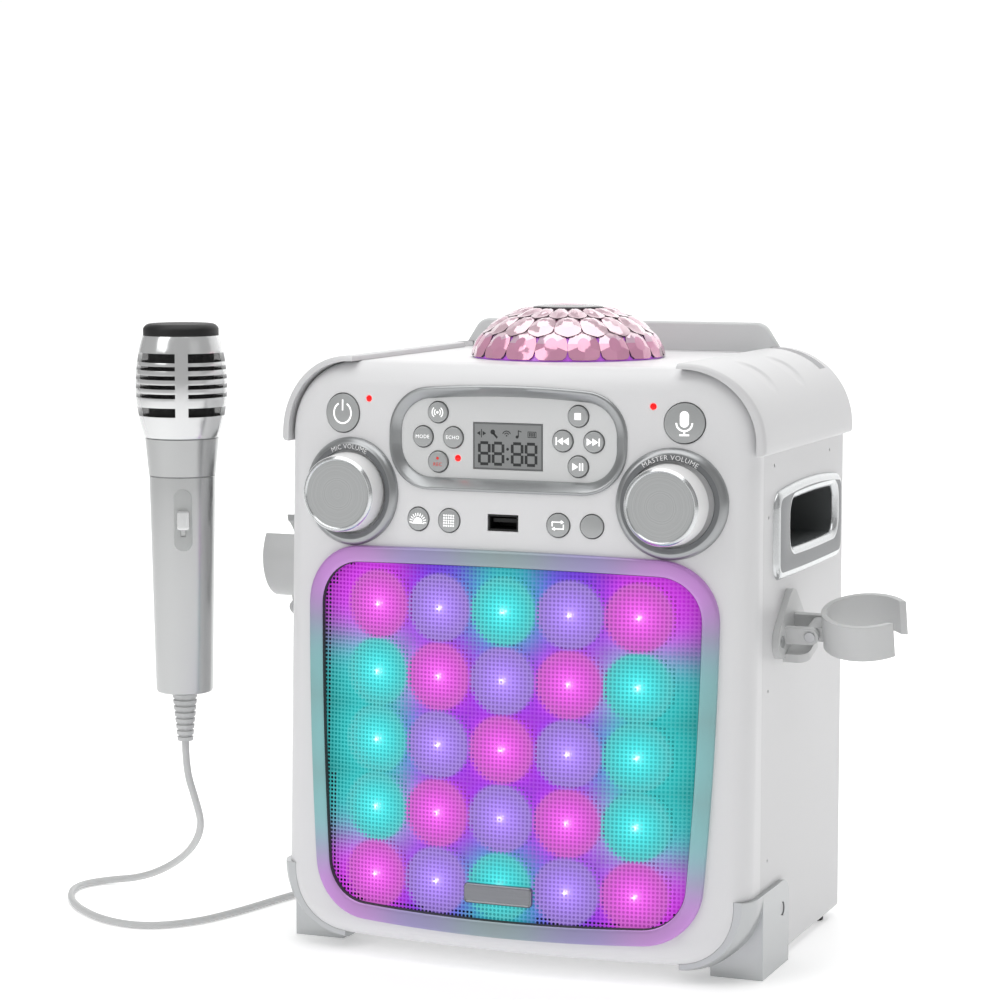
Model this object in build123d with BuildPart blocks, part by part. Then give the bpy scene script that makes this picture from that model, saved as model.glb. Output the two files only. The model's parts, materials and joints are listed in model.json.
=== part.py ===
"""Battery-powered karaoke machine with a light dome, a lit grille, and one corded microphone.

Millimetres. +X is right as seen from the front, the front faces -Y, +Z is up.  The model is drawn
about the machine's plane of symmetry (x = 0) with the floor at z = 0, and moved at the end so that
the origin is the bottom centre of the box round everything but the cord.
"""
from build123d import *
from math import cos, pi, radians, sin, sqrt, tan
import os

# ---------------------------------------------------------------- driving dimensions
# Cabinet
CABINET_WIDTH = 224.0
HALF_WIDTH = CABINET_WIDTH / 2
DECK_TOP = 271.5
SEAM_Y = -46.0               # where the front housing meets the rear shell
REAR_Y = 86.0
WALL = 2.6
SHELL_BOTTOM = 3.3           # underside of the rear shell
HOUSING_BOTTOM = 7.3         # underside of the front housing
TOP_CORNER = 33.0            # radius of the two upper corners, front and rear
HOUSING_CORNER = 31.0        # radius of the front housing's lower corners
SHELL_CORNER = 2.5
FRONT_ROUNDING = 12.0        # soft edge round the front face
REAR_EDGE = 2.0

# Bowed front face: a cylinder that leans back
BOW_RADIUS = 471.0
BOW_APEX_Y = -76.0           # foremost line of the face, at BOW_APEX_Z
BOW_APEX_Z = 100.0
BOW_LEAN = 0.036             # rise of y for each millimetre of height

# Running and seating clearances
FIT = 0.15                   # still pieces that drop into a pocket
RUNNING = 0.05               # radial play of a shaft in its bore
BUTTON_GAP = 0.45            # round the cap of a button
MOVING = 0.4                 # between moving pieces that never touch

# Grille
FRAME_HALF_WIDTH = HALF_WIDTH - 13.8         # at the upper corners
FRAME_FOOT_HALF_WIDTH = HALF_WIDTH - 20.8
FRAME_SIDE_BULGE = 2.0
FRAME_BOTTOM = 16.4
FRAME_TOP = 189.8
FRAME_ARCH = 2.6             # rise of the top and bottom edges at the middle
FRAME_CORNER = 27.0
FRAME_FACE = 7.6             # width of the ring seen from the front
FRAME_PROUD = 2.4
FRAME_DEPTH = 9.0            # how far the rim reaches behind the face
FRAME_LAP = 2.0              # how far the ring overlaps the housing's opening
FRAME_LIP = 2.2              # step that holds the grille and the light carrier
GRILLE_FRONT = -0.8
GRILLE_THICK = 1.0
CARRIER_FRONT = -7.0
CARRIER_THICK = 2.0
DIFFUSER_RADIUS = 15.4
DIFFUSER_FRONT = -4.0
DIFFUSER_PITCH_X = 31.2
DIFFUSER_PITCH_Z = 30.9
DIFFUSER_CENTRE_Z = 100.6
DIFFUSER_COLUMNS = 5
DIFFUSER_ROWS = 5
BADGE_WIDTH = 32.5
BADGE_HEIGHT = 9.0
BADGE_Z = 35.5

# Control field
BEZEL_HALF_WIDTH = HALF_WIDTH - 55.4
BEZEL_BOTTOM = 215.5
BEZEL_TOP = 263.0
BEZEL_ARCH = 3.6
BEZEL_CORNER = 20.0
BEZEL_FACE = 5.3
BEZEL_PROUD = 1.2
BEZEL_LAP = 2.0
BEZEL_LIP = 1.5
PANEL_FACE_Y = -66.6
PANEL_THICK = 2.0
DISPLAY_WIDTH = 33.0
DISPLAY_HEIGHT = 20.8
DISPLAY_Z = 235.6
DISPLAY_DEPTH = 3.4
CLUSTER_X = BEZEL_HALF_WIDTH - 23.2
CLUSTER_Z = 238.9
CLUSTER_SPREAD_X = 7.3
CLUSTER_SPREAD_Z = 11.1
SMALL_BUTTON_RADIUS = 4.6
LOWER_BUTTON_RADIUS = 5.1
LOWER_BUTTON_Z = 202.1
LOWER_INNER_X = HALF_WIDTH - 86.0
LOWER_OUTER_X = HALF_WIDTH - 70.6
BIG_BUTTON_RADIUS = 8.7
BIG_BUTTON_X = HALF_WIDTH - 30.5
BIG_BUTTON_Z = 248.2
BUTTON_TRAVEL = 1.0
BUTTON_PROUD = 0.7
BUTTON_LEDGE = 1.2           # flange behind the face that keeps a button in
USB_WIDTH = 14.3
USB_HEIGHT = 7.2
USB_Z = 202.1
USB_DEPTH = 14.0
LAMP_RADIUS = 1.3
LAMP_X = BIG_BUTTON_X - 13.8
LAMP_Z = 255.2
RECORD_LAMP_X = 9.4 - CLUSTER_X
RECORD_LAMP_Z = 229.7

# Volume knobs
KNOB_X = HALF_WIDTH - 35.5
KNOB_Z = 212.9
KNOB_BASE_RADIUS = 18.0
KNOB_FACE_RADIUS = 16.4
KNOB_BACK_Y = -69.4
KNOB_FRONT_Y = -82.4
KNOB_BEZEL_OUTER = 24.6
KNOB_BEZEL_INNER = 19.1
KNOB_BEZEL_PROUD = 3.4
KNOB_SHAFT_RADIUS = 3.0
KNOB_SHAFT_DEPTH = 9.0

# Boards and works inside
BOARD_FRONT_Y = -52.0
BOARD_THICK = 1.6
BOARD_HALF_WIDTH = HALF_WIDTH - 17.0
BOARD_BOTTOM = 196.0
BOARD_TOP = 266.0
BOARD_BOSS_RADIUS = 3.2
SWITCH_HEIGHT = 2.2
SWITCH_RADIUS = 2.2
SWITCH_REST_GAP = 0.3        # between a resting button and its switch
WOOFER_RADIUS = 62.0
WOOFER_FLANGE = 8.0
WOOFER_DUST_CAP = 14.0
BASKET_BACK_Y = -26.0
CONE_BACK_Y = -33.0
WOOFER_BACK_Y = 6.0
WOOFER_FLANGE_Y = -56.0
MAGNET_RADIUS = 35.0
MAIN_BOARD_Y = 62.0
BATTERY_WIDTH = 78.0
BATTERY_DEPTH = 40.0
BATTERY_HEIGHT = 24.0
BATTERY_Y = 34.0

# Top
DECK_HALF_WIDTH = HALF_WIDTH - 35.0
DECK_THICK = 2.0
DECK_LEDGE = 4.0             # width of the step in the rear shell that the deck lies on
GROOVE_FRONT_Y = 70.0
GROOVE_REAR_Y = 80.0
GROOVE_DEPTH = 7.0
GROOVE_HALF_WIDTH = HALF_WIDTH - 8.0
REST_FRONT_Y = 81.0
REST_TOP = 285.5
REST_BASE_HALF_WIDTH = DECK_HALF_WIDTH + 3.4
REST_TOP_HALF_WIDTH = DECK_HALF_WIDTH - 4.0
DOME_Y = 9.8
DOME_BASE_RADIUS = 47.0
DOME_MIDDLE_RADIUS = 41.0
DOME_UPPER_RADIUS = 30.5
DOME_CROWN_RADIUS = 18.0
DOME_MIDDLE_RISE = 10.5
DOME_UPPER_RISE = 18.2
DOME_CROWN_RISE = 22.5
DOME_WALL = 2.0
DOME_SIDES = 18
DOME_CAP_TOP = 297.0
MOTOR_RADIUS = 12.0
MOTOR_HEIGHT = 22.0
MOTOR_SHAFT_RADIUS = 1.5

# Shoulders over the upper corners
SHOULDER_RISE = 2.5          # above the deck
SHOULDER_OVERHANG = 4.0      # beyond the cabinet's side
SHOULDER_FLAT = 3.0          # level strip between the deck and the curve
SHOULDER_TOP = DECK_TOP + SHOULDER_RISE
SHOULDER_CENTRE_X = DECK_HALF_WIDTH + SHOULDER_FLAT
SHOULDER_RADIUS = HALF_WIDTH + SHOULDER_OVERHANG - SHOULDER_CENTRE_X
SHOULDER_CENTRE_Z = SHOULDER_TOP - SHOULDER_RADIUS
SHOULDER_SKIRT = 4.0         # straight part below the curve
SHOULDER_BOTTOM = SHOULDER_CENTRE_Z - SHOULDER_SKIRT

# Handles
TRIM_FRONT_Y = -31.0
TRIM_REAR_Y = 77.0
TRIM_BOTTOM = 175.6
TRIM_TOP = 218.4
TRIM_CORNER = 8.0
TRIM_PROUD = 2.5
TRIM_OUTER_SLOPE = 38.0      # degrees
TRIM_INNER_SLOPE = 30.0
POCKET_FRONT_Y = -10.0
POCKET_REAR_Y = 66.0
POCKET_BOTTOM = 188.5
POCKET_TOP = 211.0
POCKET_CORNER = 6.0
POCKET_DEPTH = 25.0
POCKET_WALL = 2.0

# Microphone holders
HOLDER_SKEW = 16.0           # degrees between the hinge line and level
HINGE_STANDOFF = 14.3        # from the cabinet's side to the hinge line
RING_REACH = 23.7            # from the hinge line to the ring's middle
HINGE_X = HALF_WIDTH + HINGE_STANDOFF
HINGE_Y = -12.0
HINGE_Z = 153.3
HINGE_PIN_RADIUS = 1.6
BASE_THICK = 3.0
EAR_INNER = 6.4
EAR_THICK = 2.6
EAR_RADIUS = 3.9
RING_RADIUS = 19.5
RING_WALL = 2.4
RING_HALF_GAP = 11.8
RIGHT_RING_LOW = -5.5
RIGHT_RING_HIGH = 10.5
LEFT_RING_LOW = -9.2
LEFT_RING_HIGH = 8.3

# Feet
FOOT_TOP = 38.8
FOOT_BAND = 2.3              # thickness outside the cabinet's sides
FOOT_FRONT_Y = -66.0
FOOT_REAR_Y = -8.0
FOOT_INNER_X = HALF_WIDTH - 31.0
FOOT_TOE_X = HALF_WIDTH - 22.0               # inner end of the sole
FOOT_FIN = 2.5
FOOT_CORNER = 9.0
FOOT_SCREW_Y = -18.0
FOOT_SCREW_Z = 26.0
REAR_FOOT_RADIUS = 5.0
REAR_FOOT_X = HALF_WIDTH - 8.0
REAR_FOOT_Y = 69.0
SCREW_HEAD_RADIUS = 2.6

# Microphone
MIC_X = -166.0
MIC_Y = -60.0
MIC_TURN = 28.0              # degrees that the switch is turned from the front
MIC_RELIEF_BOTTOM = 91.0
MIC_RELIEF_LENGTH = 23.4
MIC_HANDLE_LENGTH = 102.2
MIC_NECK_LENGTH = 17.9
MIC_HEAD_LENGTH = 47.2
MIC_CAP_HEIGHT = 6.1
MIC_BOTTOM = MIC_RELIEF_BOTTOM + MIC_RELIEF_LENGTH
MIC_NECK_BOTTOM = MIC_BOTTOM + MIC_HANDLE_LENGTH
MIC_HEAD_BOTTOM = MIC_NECK_BOTTOM + MIC_NECK_LENGTH
MIC_CAP_BOTTOM = MIC_HEAD_BOTTOM + MIC_HEAD_LENGTH
MIC_TOP = MIC_CAP_BOTTOM + MIC_CAP_HEIGHT
MIC_CAP_RADIUS = 17.5
MIC_HEAD_RADIUS = 21.3
MIC_COLLAR_RADIUS = 17.2
MIC_NECK_RADIUS = 15.5
MIC_TAIL_RADIUS = 13.3
MIC_WALL = 1.8
MIC_SLOT_SHARES = (0.69, 0.60, 0.51, 0.42)       # thin slots, as shares of the head's length
MIC_WIDE_SLOT_SHARES = (0.79, 0.26)              # deep slots, the same way
MIC_SLOT_SHARE = 0.042                           # height of a thin slot, the same way
MIC_WIDE_SLOT_SHARE = 0.089                      # height of a deep slot
MIC_RIB = 6.0
SWITCH_PLATE_DROP = 5.4                          # from the neck down to the plate
SWITCH_PLATE_LENGTH = 28.8
SWITCH_PLATE_WIDTH = 8.4
SWITCH_DROP = 9.6                                # from the plate's top down to the slider
SWITCH_LENGTH = 9.2
SWITCH_WIDTH = 5.6
SWITCH_TRAVEL = 5.0

# Cord
CORD_DIAMETER = 3.5
COIL_TURN_RADIUS = 20.0
COIL_BUNDLE = 14.0
COIL_X = -62.0
COIL_Y = 122.0

# Rear jack panel
JACK_PANEL_X = -45.0
JACK_PANEL_Z = 52.0
JACK_PANEL_WIDTH = 76.0
JACK_PANEL_HEIGHT = 34.0
JACK_SPACING = 22.0
JACK_BORE_RADIUS = 3.25
PLUG_PIN_RADIUS = 3.15
AUX_BORE_RADIUS = 1.8
JACK_DEPTH = 18.0
AUX_DEPTH = 13.0

os.makedirs("parts", exist_ok=True)
pieces = []


def keep(part, name):
    """Label a finished piece and queue it for export."""
    part.label = name
    pieces.append(part)


# ---------------------------------------------------------------- shared shapes
FRONT_REACH = 150.0          # length of cutting prisms, past everything
BOW_PLANE = Plane(
    origin=(0, BOW_APEX_Y + BOW_RADIUS, BOW_APEX_Z),
    x_dir=(1, 0, 0),
    z_dir=(0, BOW_LEAN, 1),
)


def front_plane(y):
    """Sketch plane that faces the front, at the given y, with X right and Z up."""
    return Plane.XZ.offset(-y)


def bow_y(x, z, proud=0.0):
    """y of the bowed face at a place seen from the front."""
    radius = BOW_RADIUS + proud
    return BOW_APEX_Y + BOW_RADIUS - sqrt(radius**2 - x**2) + BOW_LEAN * (z - BOW_APEX_Z)


def behind_bow(proud):
    """Everything behind the bowed face, moved forward by `proud`."""
    with BuildPart() as body:
        with BuildSketch(BOW_PLANE):
            Circle(BOW_RADIUS + proud)
        extrude(amount=2 * DECK_TOP, both=True)
    return body.part


def between_bows(outline, back, front):
    """Prism of an outline, kept between two bowed surfaces."""
    with BuildPart() as slug:
        extrude(outline, amount=FRONT_REACH)
        add(behind_bow(front), mode=Mode.INTERSECT)
        add(behind_bow(back), mode=Mode.SUBTRACT)
    return slug.part


def housing_outline(inset, plane):
    """Front view of the front housing, moved inwards."""
    half = HALF_WIDTH - inset
    low = HOUSING_BOTTOM + inset
    high = DECK_TOP - inset
    with BuildSketch(plane) as outline:
        with Locations((0, (low + high) / 2)):
            Rectangle(2 * half, high - low)
        fillet(outline.vertices().group_by(Axis.Y)[-1], TOP_CORNER - inset)
        fillet(outline.vertices().group_by(Axis.Y)[0], HOUSING_CORNER - inset)
    return outline.sketch


def housing_form(inset):
    """Solid inside of the front housing's skin, moved inwards."""
    with BuildPart() as form:
        extrude(housing_outline(inset, front_plane(SEAM_Y)), amount=FRONT_REACH)
        add(behind_bow(-inset), mode=Mode.INTERSECT)
        rim = form.faces().sort_by(Axis.Y)[0].edges()
        fillet(rim, FRONT_ROUNDING - inset)
    return form.part


def frame_outline(inset, plane):
    """Front view of the grille frame, moved inwards: four gentle arcs with round corners."""
    top_side = FRAME_TOP - FRAME_ARCH
    foot_side = FRAME_BOTTOM + FRAME_ARCH
    middle = (FRAME_HALF_WIDTH + FRAME_FOOT_HALF_WIDTH) / 2 + FRAME_SIDE_BULGE
    middle_z = (top_side + foot_side) / 2
    with BuildSketch(plane) as outline:
        with BuildLine():
            top = ThreePointArc(
                (-FRAME_HALF_WIDTH, top_side), (0, FRAME_TOP), (FRAME_HALF_WIDTH, top_side))
            right = ThreePointArc(
                top @ 1, (middle, middle_z), (FRAME_FOOT_HALF_WIDTH, foot_side))
            foot = ThreePointArc(
                right @ 1, (0, FRAME_BOTTOM), (-FRAME_FOOT_HALF_WIDTH, foot_side))
            ThreePointArc(foot @ 1, (-middle, middle_z), top @ 0)
        make_face()
        fillet(outline.vertices(), FRAME_CORNER)
        if inset > 0:
            offset(amount=-inset, mode=Mode.REPLACE)
    return outline.sketch


def bezel_outline(inset, plane):
    """Front view of the control bezel, moved inwards: a lozenge with an arched top."""
    top_side = BEZEL_TOP - BEZEL_ARCH
    with BuildSketch(plane) as outline:
        with BuildLine():
            Polyline(
                (BEZEL_HALF_WIDTH, top_side),
                (BEZEL_HALF_WIDTH, BEZEL_BOTTOM),
                (-BEZEL_HALF_WIDTH, BEZEL_BOTTOM),
                (-BEZEL_HALF_WIDTH, top_side),
            )
            ThreePointArc(
                (-BEZEL_HALF_WIDTH, top_side), (0, BEZEL_TOP), (BEZEL_HALF_WIDTH, top_side))
        make_face()
        fillet(outline.vertices(), BEZEL_CORNER)
        if inset > 0:
            offset(amount=-inset, mode=Mode.REPLACE)
    return outline.sketch


def discs(places, radius, plane):
    """Round outlines at several places of a sketch plane."""
    with BuildSketch(plane) as outline:
        with Locations(*places):
            Circle(radius)
    return outline.sketch


def block(width, height, place, plane):
    """Rectangular outline at one place of a sketch plane."""
    with BuildSketch(plane) as outline:
        with Locations(place):
            Rectangle(width, height)
    return outline.sketch


def both_sides(places):
    """Places with their mirror images across x = 0."""
    return [(side * x, z) for side in (1, -1) for x, z in places]


# ---------------------------------------------------------------- places of the controls
SMALL_BUTTONS = {
    "wireless_button": (-CLUSTER_X, CLUSTER_Z + CLUSTER_SPREAD_Z),
    "mode_button": (-CLUSTER_X - CLUSTER_SPREAD_X, CLUSTER_Z),
    "echo_button": (-CLUSTER_X + CLUSTER_SPREAD_X, CLUSTER_Z),
    "record_button": (-CLUSTER_X, CLUSTER_Z - CLUSTER_SPREAD_Z),
    "stop_button": (CLUSTER_X, CLUSTER_Z + CLUSTER_SPREAD_Z),
    "previous_button": (CLUSTER_X - CLUSTER_SPREAD_X, CLUSTER_Z),
    "next_button": (CLUSTER_X + CLUSTER_SPREAD_X, CLUSTER_Z),
    "play_button": (CLUSTER_X, CLUSTER_Z - CLUSTER_SPREAD_Z),
}
LOWER_BUTTONS = {
    "dome_light_button": (-LOWER_OUTER_X, LOWER_BUTTON_Z),
    "grid_light_button": (-LOWER_INNER_X, LOWER_BUTTON_Z),
    "repeat_button": (LOWER_INNER_X, LOWER_BUTTON_Z),
    "folder_button": (LOWER_OUTER_X, LOWER_BUTTON_Z),
}
BIG_BUTTONS = {
    "power_button": (-BIG_BUTTON_X, BIG_BUTTON_Z),
    "microphone_button": (BIG_BUTTON_X, BIG_BUTTON_Z),
}
KNOB_PLACES = both_sides([(KNOB_X, KNOB_Z)])
LAMP_PLACES = both_sides([(LAMP_X, LAMP_Z)])
BOSS_PLACES = both_sides([
    (USB_WIDTH + 0.7, USB_Z + USB_HEIGHT + 0.3),
    (BEZEL_HALF_WIDTH + 9.4, BEZEL_TOP - 0.8),
])
PANEL_BACK_Y = PANEL_FACE_Y + PANEL_THICK
SWITCH_TOP_Y = BOARD_FRONT_Y - SWITCH_HEIGHT
STEM_END_Y = SWITCH_TOP_Y - BUTTON_TRAVEL - SWITCH_REST_GAP
SHAFT_END_Y = KNOB_BACK_Y - KNOB_SHAFT_DEPTH
SEAM_PLANE = front_plane(SEAM_Y)

# ---------------------------------------------------------------- front housing
boss_outline = discs(BOSS_PLACES, BOARD_BOSS_RADIUS, front_plane(BOARD_FRONT_Y))
board_bosses = extrude(boss_outline, FRONT_REACH) & housing_form(WALL / 2)

with BuildPart() as front_housing:
    add(housing_form(0))
    add(housing_form(WALL), mode=Mode.SUBTRACT)
    add(board_bosses)
    extrude(frame_outline(FRAME_LAP - FIT, SEAM_PLANE), FRONT_REACH, mode=Mode.SUBTRACT)
    extrude(bezel_outline(BEZEL_LAP - FIT, SEAM_PLANE), FRONT_REACH, mode=Mode.SUBTRACT)
    extrude(
        discs(BIG_BUTTONS.values(), BIG_BUTTON_RADIUS + BUTTON_GAP, SEAM_PLANE),
        FRONT_REACH, mode=Mode.SUBTRACT)
    extrude(
        discs(LOWER_BUTTONS.values(), LOWER_BUTTON_RADIUS + BUTTON_GAP, SEAM_PLANE),
        FRONT_REACH, mode=Mode.SUBTRACT)
    extrude(
        discs(KNOB_PLACES, KNOB_SHAFT_RADIUS + 1.0, SEAM_PLANE),
        FRONT_REACH, mode=Mode.SUBTRACT)
    extrude(discs(LAMP_PLACES, LAMP_RADIUS + FIT, SEAM_PLANE), FRONT_REACH, mode=Mode.SUBTRACT)
    extrude(
        block(USB_WIDTH + 2 * FIT, USB_HEIGHT + 2 * FIT, (0, USB_Z), SEAM_PLANE),
        FRONT_REACH, mode=Mode.SUBTRACT)
keep(front_housing.part, "front_housing")

# ---------------------------------------------------------------- grille
with BuildPart() as grille_frame:
    add(between_bows(frame_outline(0, SEAM_PLANE), 0, FRAME_PROUD))
    add(between_bows(frame_outline(FRAME_LAP, SEAM_PLANE), -FRAME_DEPTH, 0))
    extrude(frame_outline(FRAME_FACE, SEAM_PLANE), FRONT_REACH, mode=Mode.SUBTRACT)
    add(
        between_bows(
            frame_outline(FRAME_FACE - FRAME_LIP, SEAM_PLANE), -2 * FRAME_DEPTH, GRILLE_FRONT),
        mode=Mode.SUBTRACT)
keep(grille_frame.part, "grille_frame")

rebate_outline = frame_outline(FRAME_FACE - FRAME_LIP + FIT, SEAM_PLANE)
keep(between_bows(rebate_outline, GRILLE_FRONT - GRILLE_THICK, GRILLE_FRONT), "speaker_grille")

with BuildSketch(front_plane(WOOFER_FLANGE_Y)) as baffle_outline:
    with Locations((0, DIFFUSER_CENTRE_Z)):
        Circle(WOOFER_RADIUS)
        Circle(WOOFER_RADIUS - WOOFER_FLANGE, mode=Mode.SUBTRACT)
with BuildPart() as led_carrier:
    extrude(baffle_outline.sketch, FRONT_REACH)
    add(behind_bow(CARRIER_FRONT - CARRIER_THICK), mode=Mode.INTERSECT)
    add(between_bows(rebate_outline, CARRIER_FRONT - CARRIER_THICK, CARRIER_FRONT))
keep(led_carrier.part, "led_carrier")

with BuildSketch(SEAM_PLANE) as diffuser_outline:
    with Locations((0, DIFFUSER_CENTRE_Z)):
        with GridLocations(DIFFUSER_PITCH_X, DIFFUSER_PITCH_Z, DIFFUSER_COLUMNS, DIFFUSER_ROWS):
            Circle(DIFFUSER_RADIUS)
    add(frame_outline(FRAME_FACE - FRAME_LIP + 2 * FIT, SEAM_PLANE), mode=Mode.INTERSECT)
keep(between_bows(diffuser_outline.sketch, CARRIER_FRONT, DIFFUSER_FRONT), "led_diffusers")

with BuildSketch(SEAM_PLANE) as badge_outline:
    with Locations((0, BADGE_Z)):
        RectangleRounded(BADGE_WIDTH, BADGE_HEIGHT, 1.6)
keep(between_bows(badge_outline.sketch, GRILLE_FRONT, FRAME_PROUD - 1.2), "badge_plate")

with BuildPart() as woofer:
    with BuildSketch(Plane.YZ):
        with BuildLine():
            Polyline(
                (WOOFER_FLANGE_Y, DIFFUSER_CENTRE_Z + WOOFER_RADIUS - WOOFER_FLANGE),
                (WOOFER_FLANGE_Y, DIFFUSER_CENTRE_Z + WOOFER_RADIUS),
                (WOOFER_FLANGE_Y + WALL, DIFFUSER_CENTRE_Z + WOOFER_RADIUS),
                (WOOFER_FLANGE_Y + WALL, DIFFUSER_CENTRE_Z + WOOFER_RADIUS - 2 * WALL),
                (BASKET_BACK_Y, DIFFUSER_CENTRE_Z + MAGNET_RADIUS + WALL),
                (BASKET_BACK_Y, DIFFUSER_CENTRE_Z + MAGNET_RADIUS),
                (WOOFER_BACK_Y, DIFFUSER_CENTRE_Z + MAGNET_RADIUS),
                (WOOFER_BACK_Y, DIFFUSER_CENTRE_Z),
                (CONE_BACK_Y, DIFFUSER_CENTRE_Z),
                (CONE_BACK_Y, DIFFUSER_CENTRE_Z + WOOFER_DUST_CAP),
                close=True,
            )
        make_face()
    revolve(axis=Axis((0, 0, DIFFUSER_CENTRE_Z), (0, 1, 0)))
keep(woofer.part, "woofer")

# ---------------------------------------------------------------- control field
with BuildPart() as control_bezel:
    add(between_bows(bezel_outline(0, SEAM_PLANE), 0, BEZEL_PROUD))
    extrude(bezel_outline(BEZEL_LAP, front_plane(PANEL_BACK_Y)), FRONT_REACH)
    add(behind_bow(BEZEL_PROUD), mode=Mode.INTERSECT)
    extrude(bezel_outline(BEZEL_FACE, SEAM_PLANE), FRONT_REACH, mode=Mode.SUBTRACT)
    extrude(
        bezel_outline(BEZEL_FACE - BEZEL_LIP, front_plane(PANEL_BACK_Y)),
        PANEL_THICK, mode=Mode.SUBTRACT)
keep(control_bezel.part, "control_bezel")

with BuildPart() as control_panel:
    extrude(
        bezel_outline(BEZEL_FACE - BEZEL_LIP + FIT, front_plane(PANEL_BACK_Y)), PANEL_THICK)
    extrude(
        discs(SMALL_BUTTONS.values(), SMALL_BUTTON_RADIUS + BUTTON_GAP, front_plane(PANEL_BACK_Y)),
        PANEL_THICK, mode=Mode.SUBTRACT)
    extrude(
        block(DISPLAY_WIDTH + 2 * FIT, DISPLAY_HEIGHT + 2 * FIT, (0, DISPLAY_Z),
              front_plane(PANEL_BACK_Y)),
        PANEL_THICK, mode=Mode.SUBTRACT)
    extrude(
        discs([(RECORD_LAMP_X, RECORD_LAMP_Z)], LAMP_RADIUS + FIT, front_plane(PANEL_BACK_Y)),
        PANEL_THICK, mode=Mode.SUBTRACT)
keep(control_panel.part, "control_panel")

with BuildPart() as display:
    with BuildSketch(front_plane(PANEL_FACE_Y + DISPLAY_DEPTH)):
        with Locations((0, DISPLAY_Z)):
            Rectangle(DISPLAY_WIDTH, DISPLAY_HEIGHT)
    extrude(amount=DISPLAY_DEPTH)
keep(display.part, "display")

LAMP_DEPTH = 4.0
lamp_outline = discs(LAMP_PLACES, LAMP_RADIUS, SEAM_PLANE)
record_lamp_outline = discs(
    [(RECORD_LAMP_X, RECORD_LAMP_Z)], LAMP_RADIUS, front_plane(PANEL_FACE_Y + LAMP_DEPTH))
with BuildPart() as indicator_lights:
    add(between_bows(lamp_outline, -LAMP_DEPTH, 0.3))
    extrude(record_lamp_outline, LAMP_DEPTH + 0.3)
keep(indicator_lights.part, "indicator_lights")

with BuildPart() as usb_socket:
    with BuildSketch(front_plane(bow_y(0, USB_Z, -0.3) + USB_DEPTH)):
        with Locations((0, USB_Z)):
            Rectangle(USB_WIDTH, USB_HEIGHT)
    extrude(amount=USB_DEPTH)
    with BuildSketch(front_plane(bow_y(0, USB_Z, -0.3) + USB_DEPTH - 1.5)):
        with Locations((0, USB_Z)):
            Rectangle(USB_WIDTH - 1.6, USB_HEIGHT - 1.6)
    extrude(amount=USB_DEPTH, mode=Mode.SUBTRACT)
    with BuildSketch(front_plane(bow_y(0, USB_Z, -0.3) + USB_DEPTH - 1.5)):
        with Locations((0, USB_Z + 1.0)):
            Rectangle(USB_WIDTH - 3.2, 1.8)
    extrude(amount=USB_DEPTH - 3.5)
keep(usb_socket.part, "usb_socket")

# Buttons: a cap in the opening, a ledge behind the skin, and a stem that ends short of its switch.
BUTTON_STEM_RADIUS = 2.0


def bowed_button(place, radius):
    """Button whose cap follows the bowed face."""
    ledge_front = -WALL - FIT
    with BuildPart() as button:
        add(between_bows(discs([place], radius, SEAM_PLANE), ledge_front, BUTTON_PROUD))
        add(
            between_bows(
                discs([place], radius + BUTTON_LEDGE, SEAM_PLANE),
                ledge_front - BUTTON_LEDGE, ledge_front))
        stem_length = STEM_END_Y - bow_y(*place)
        extrude(discs([place], BUTTON_STEM_RADIUS, front_plane(STEM_END_Y)), stem_length)
    return button.part


def panel_button(place):
    """Button of the flat control panel, with a slightly rounded cap."""
    ledge_y = PANEL_BACK_Y + FIT
    with BuildPart() as button:
        extrude(
            discs([place], SMALL_BUTTON_RADIUS, front_plane(ledge_y)),
            ledge_y - PANEL_FACE_Y + BUTTON_PROUD + 0.4)
        fillet(button.faces().sort_by(Axis.Y)[0].edges(), 0.5)
        extrude(
            discs([place], SMALL_BUTTON_RADIUS + BUTTON_LEDGE, front_plane(ledge_y + BUTTON_LEDGE)),
            BUTTON_LEDGE)
        extrude(
            discs([place], BUTTON_STEM_RADIUS, front_plane(STEM_END_Y)), STEM_END_Y - ledge_y)
    return button.part


for name, place in BIG_BUTTONS.items():
    keep(bowed_button(place, BIG_BUTTON_RADIUS), name)
for name, place in LOWER_BUTTONS.items():
    keep(bowed_button(place, LOWER_BUTTON_RADIUS), name)
for name, place in SMALL_BUTTONS.items():
    keep(panel_button(place), name)

# Control board behind the face, with a switch for each button and a shaft for each knob
ALL_BUTTONS = {**BIG_BUTTONS, **LOWER_BUTTONS, **SMALL_BUTTONS}
KNOB_POT_RADIUS = 8.0
KNOB_POT_DEPTH = 8.0
with BuildPart() as control_board:
    with BuildSketch(front_plane(BOARD_FRONT_Y + BOARD_THICK)):
        with Locations((0, (BOARD_BOTTOM + BOARD_TOP) / 2)):
            board = Rectangle(2 * BOARD_HALF_WIDTH, BOARD_TOP - BOARD_BOTTOM)
        fillet(board.vertices().group_by(Axis.Y)[-1], TOP_CORNER - 2 * WALL)
    extrude(amount=BOARD_THICK)
    extrude(
        discs(ALL_BUTTONS.values(), SWITCH_RADIUS, front_plane(BOARD_FRONT_Y)), SWITCH_HEIGHT)
    extrude(discs(KNOB_PLACES, KNOB_POT_RADIUS, front_plane(BOARD_FRONT_Y)), KNOB_POT_DEPTH)
    extrude(
        discs(KNOB_PLACES, KNOB_SHAFT_RADIUS, front_plane(BOARD_FRONT_Y)),
        BOARD_FRONT_Y - SHAFT_END_Y - FIT)
keep(control_board.part, "control_board")

# ---------------------------------------------------------------- volume knobs
with BuildSketch(SEAM_PLANE) as knob_bezel_outline:
    with Locations(*KNOB_PLACES):
        Circle(KNOB_BEZEL_OUTER)
        Circle(KNOB_BEZEL_INNER, mode=Mode.SUBTRACT)
keep(between_bows(knob_bezel_outline.sketch, 0, KNOB_BEZEL_PROUD), "knob_bezels")


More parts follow.
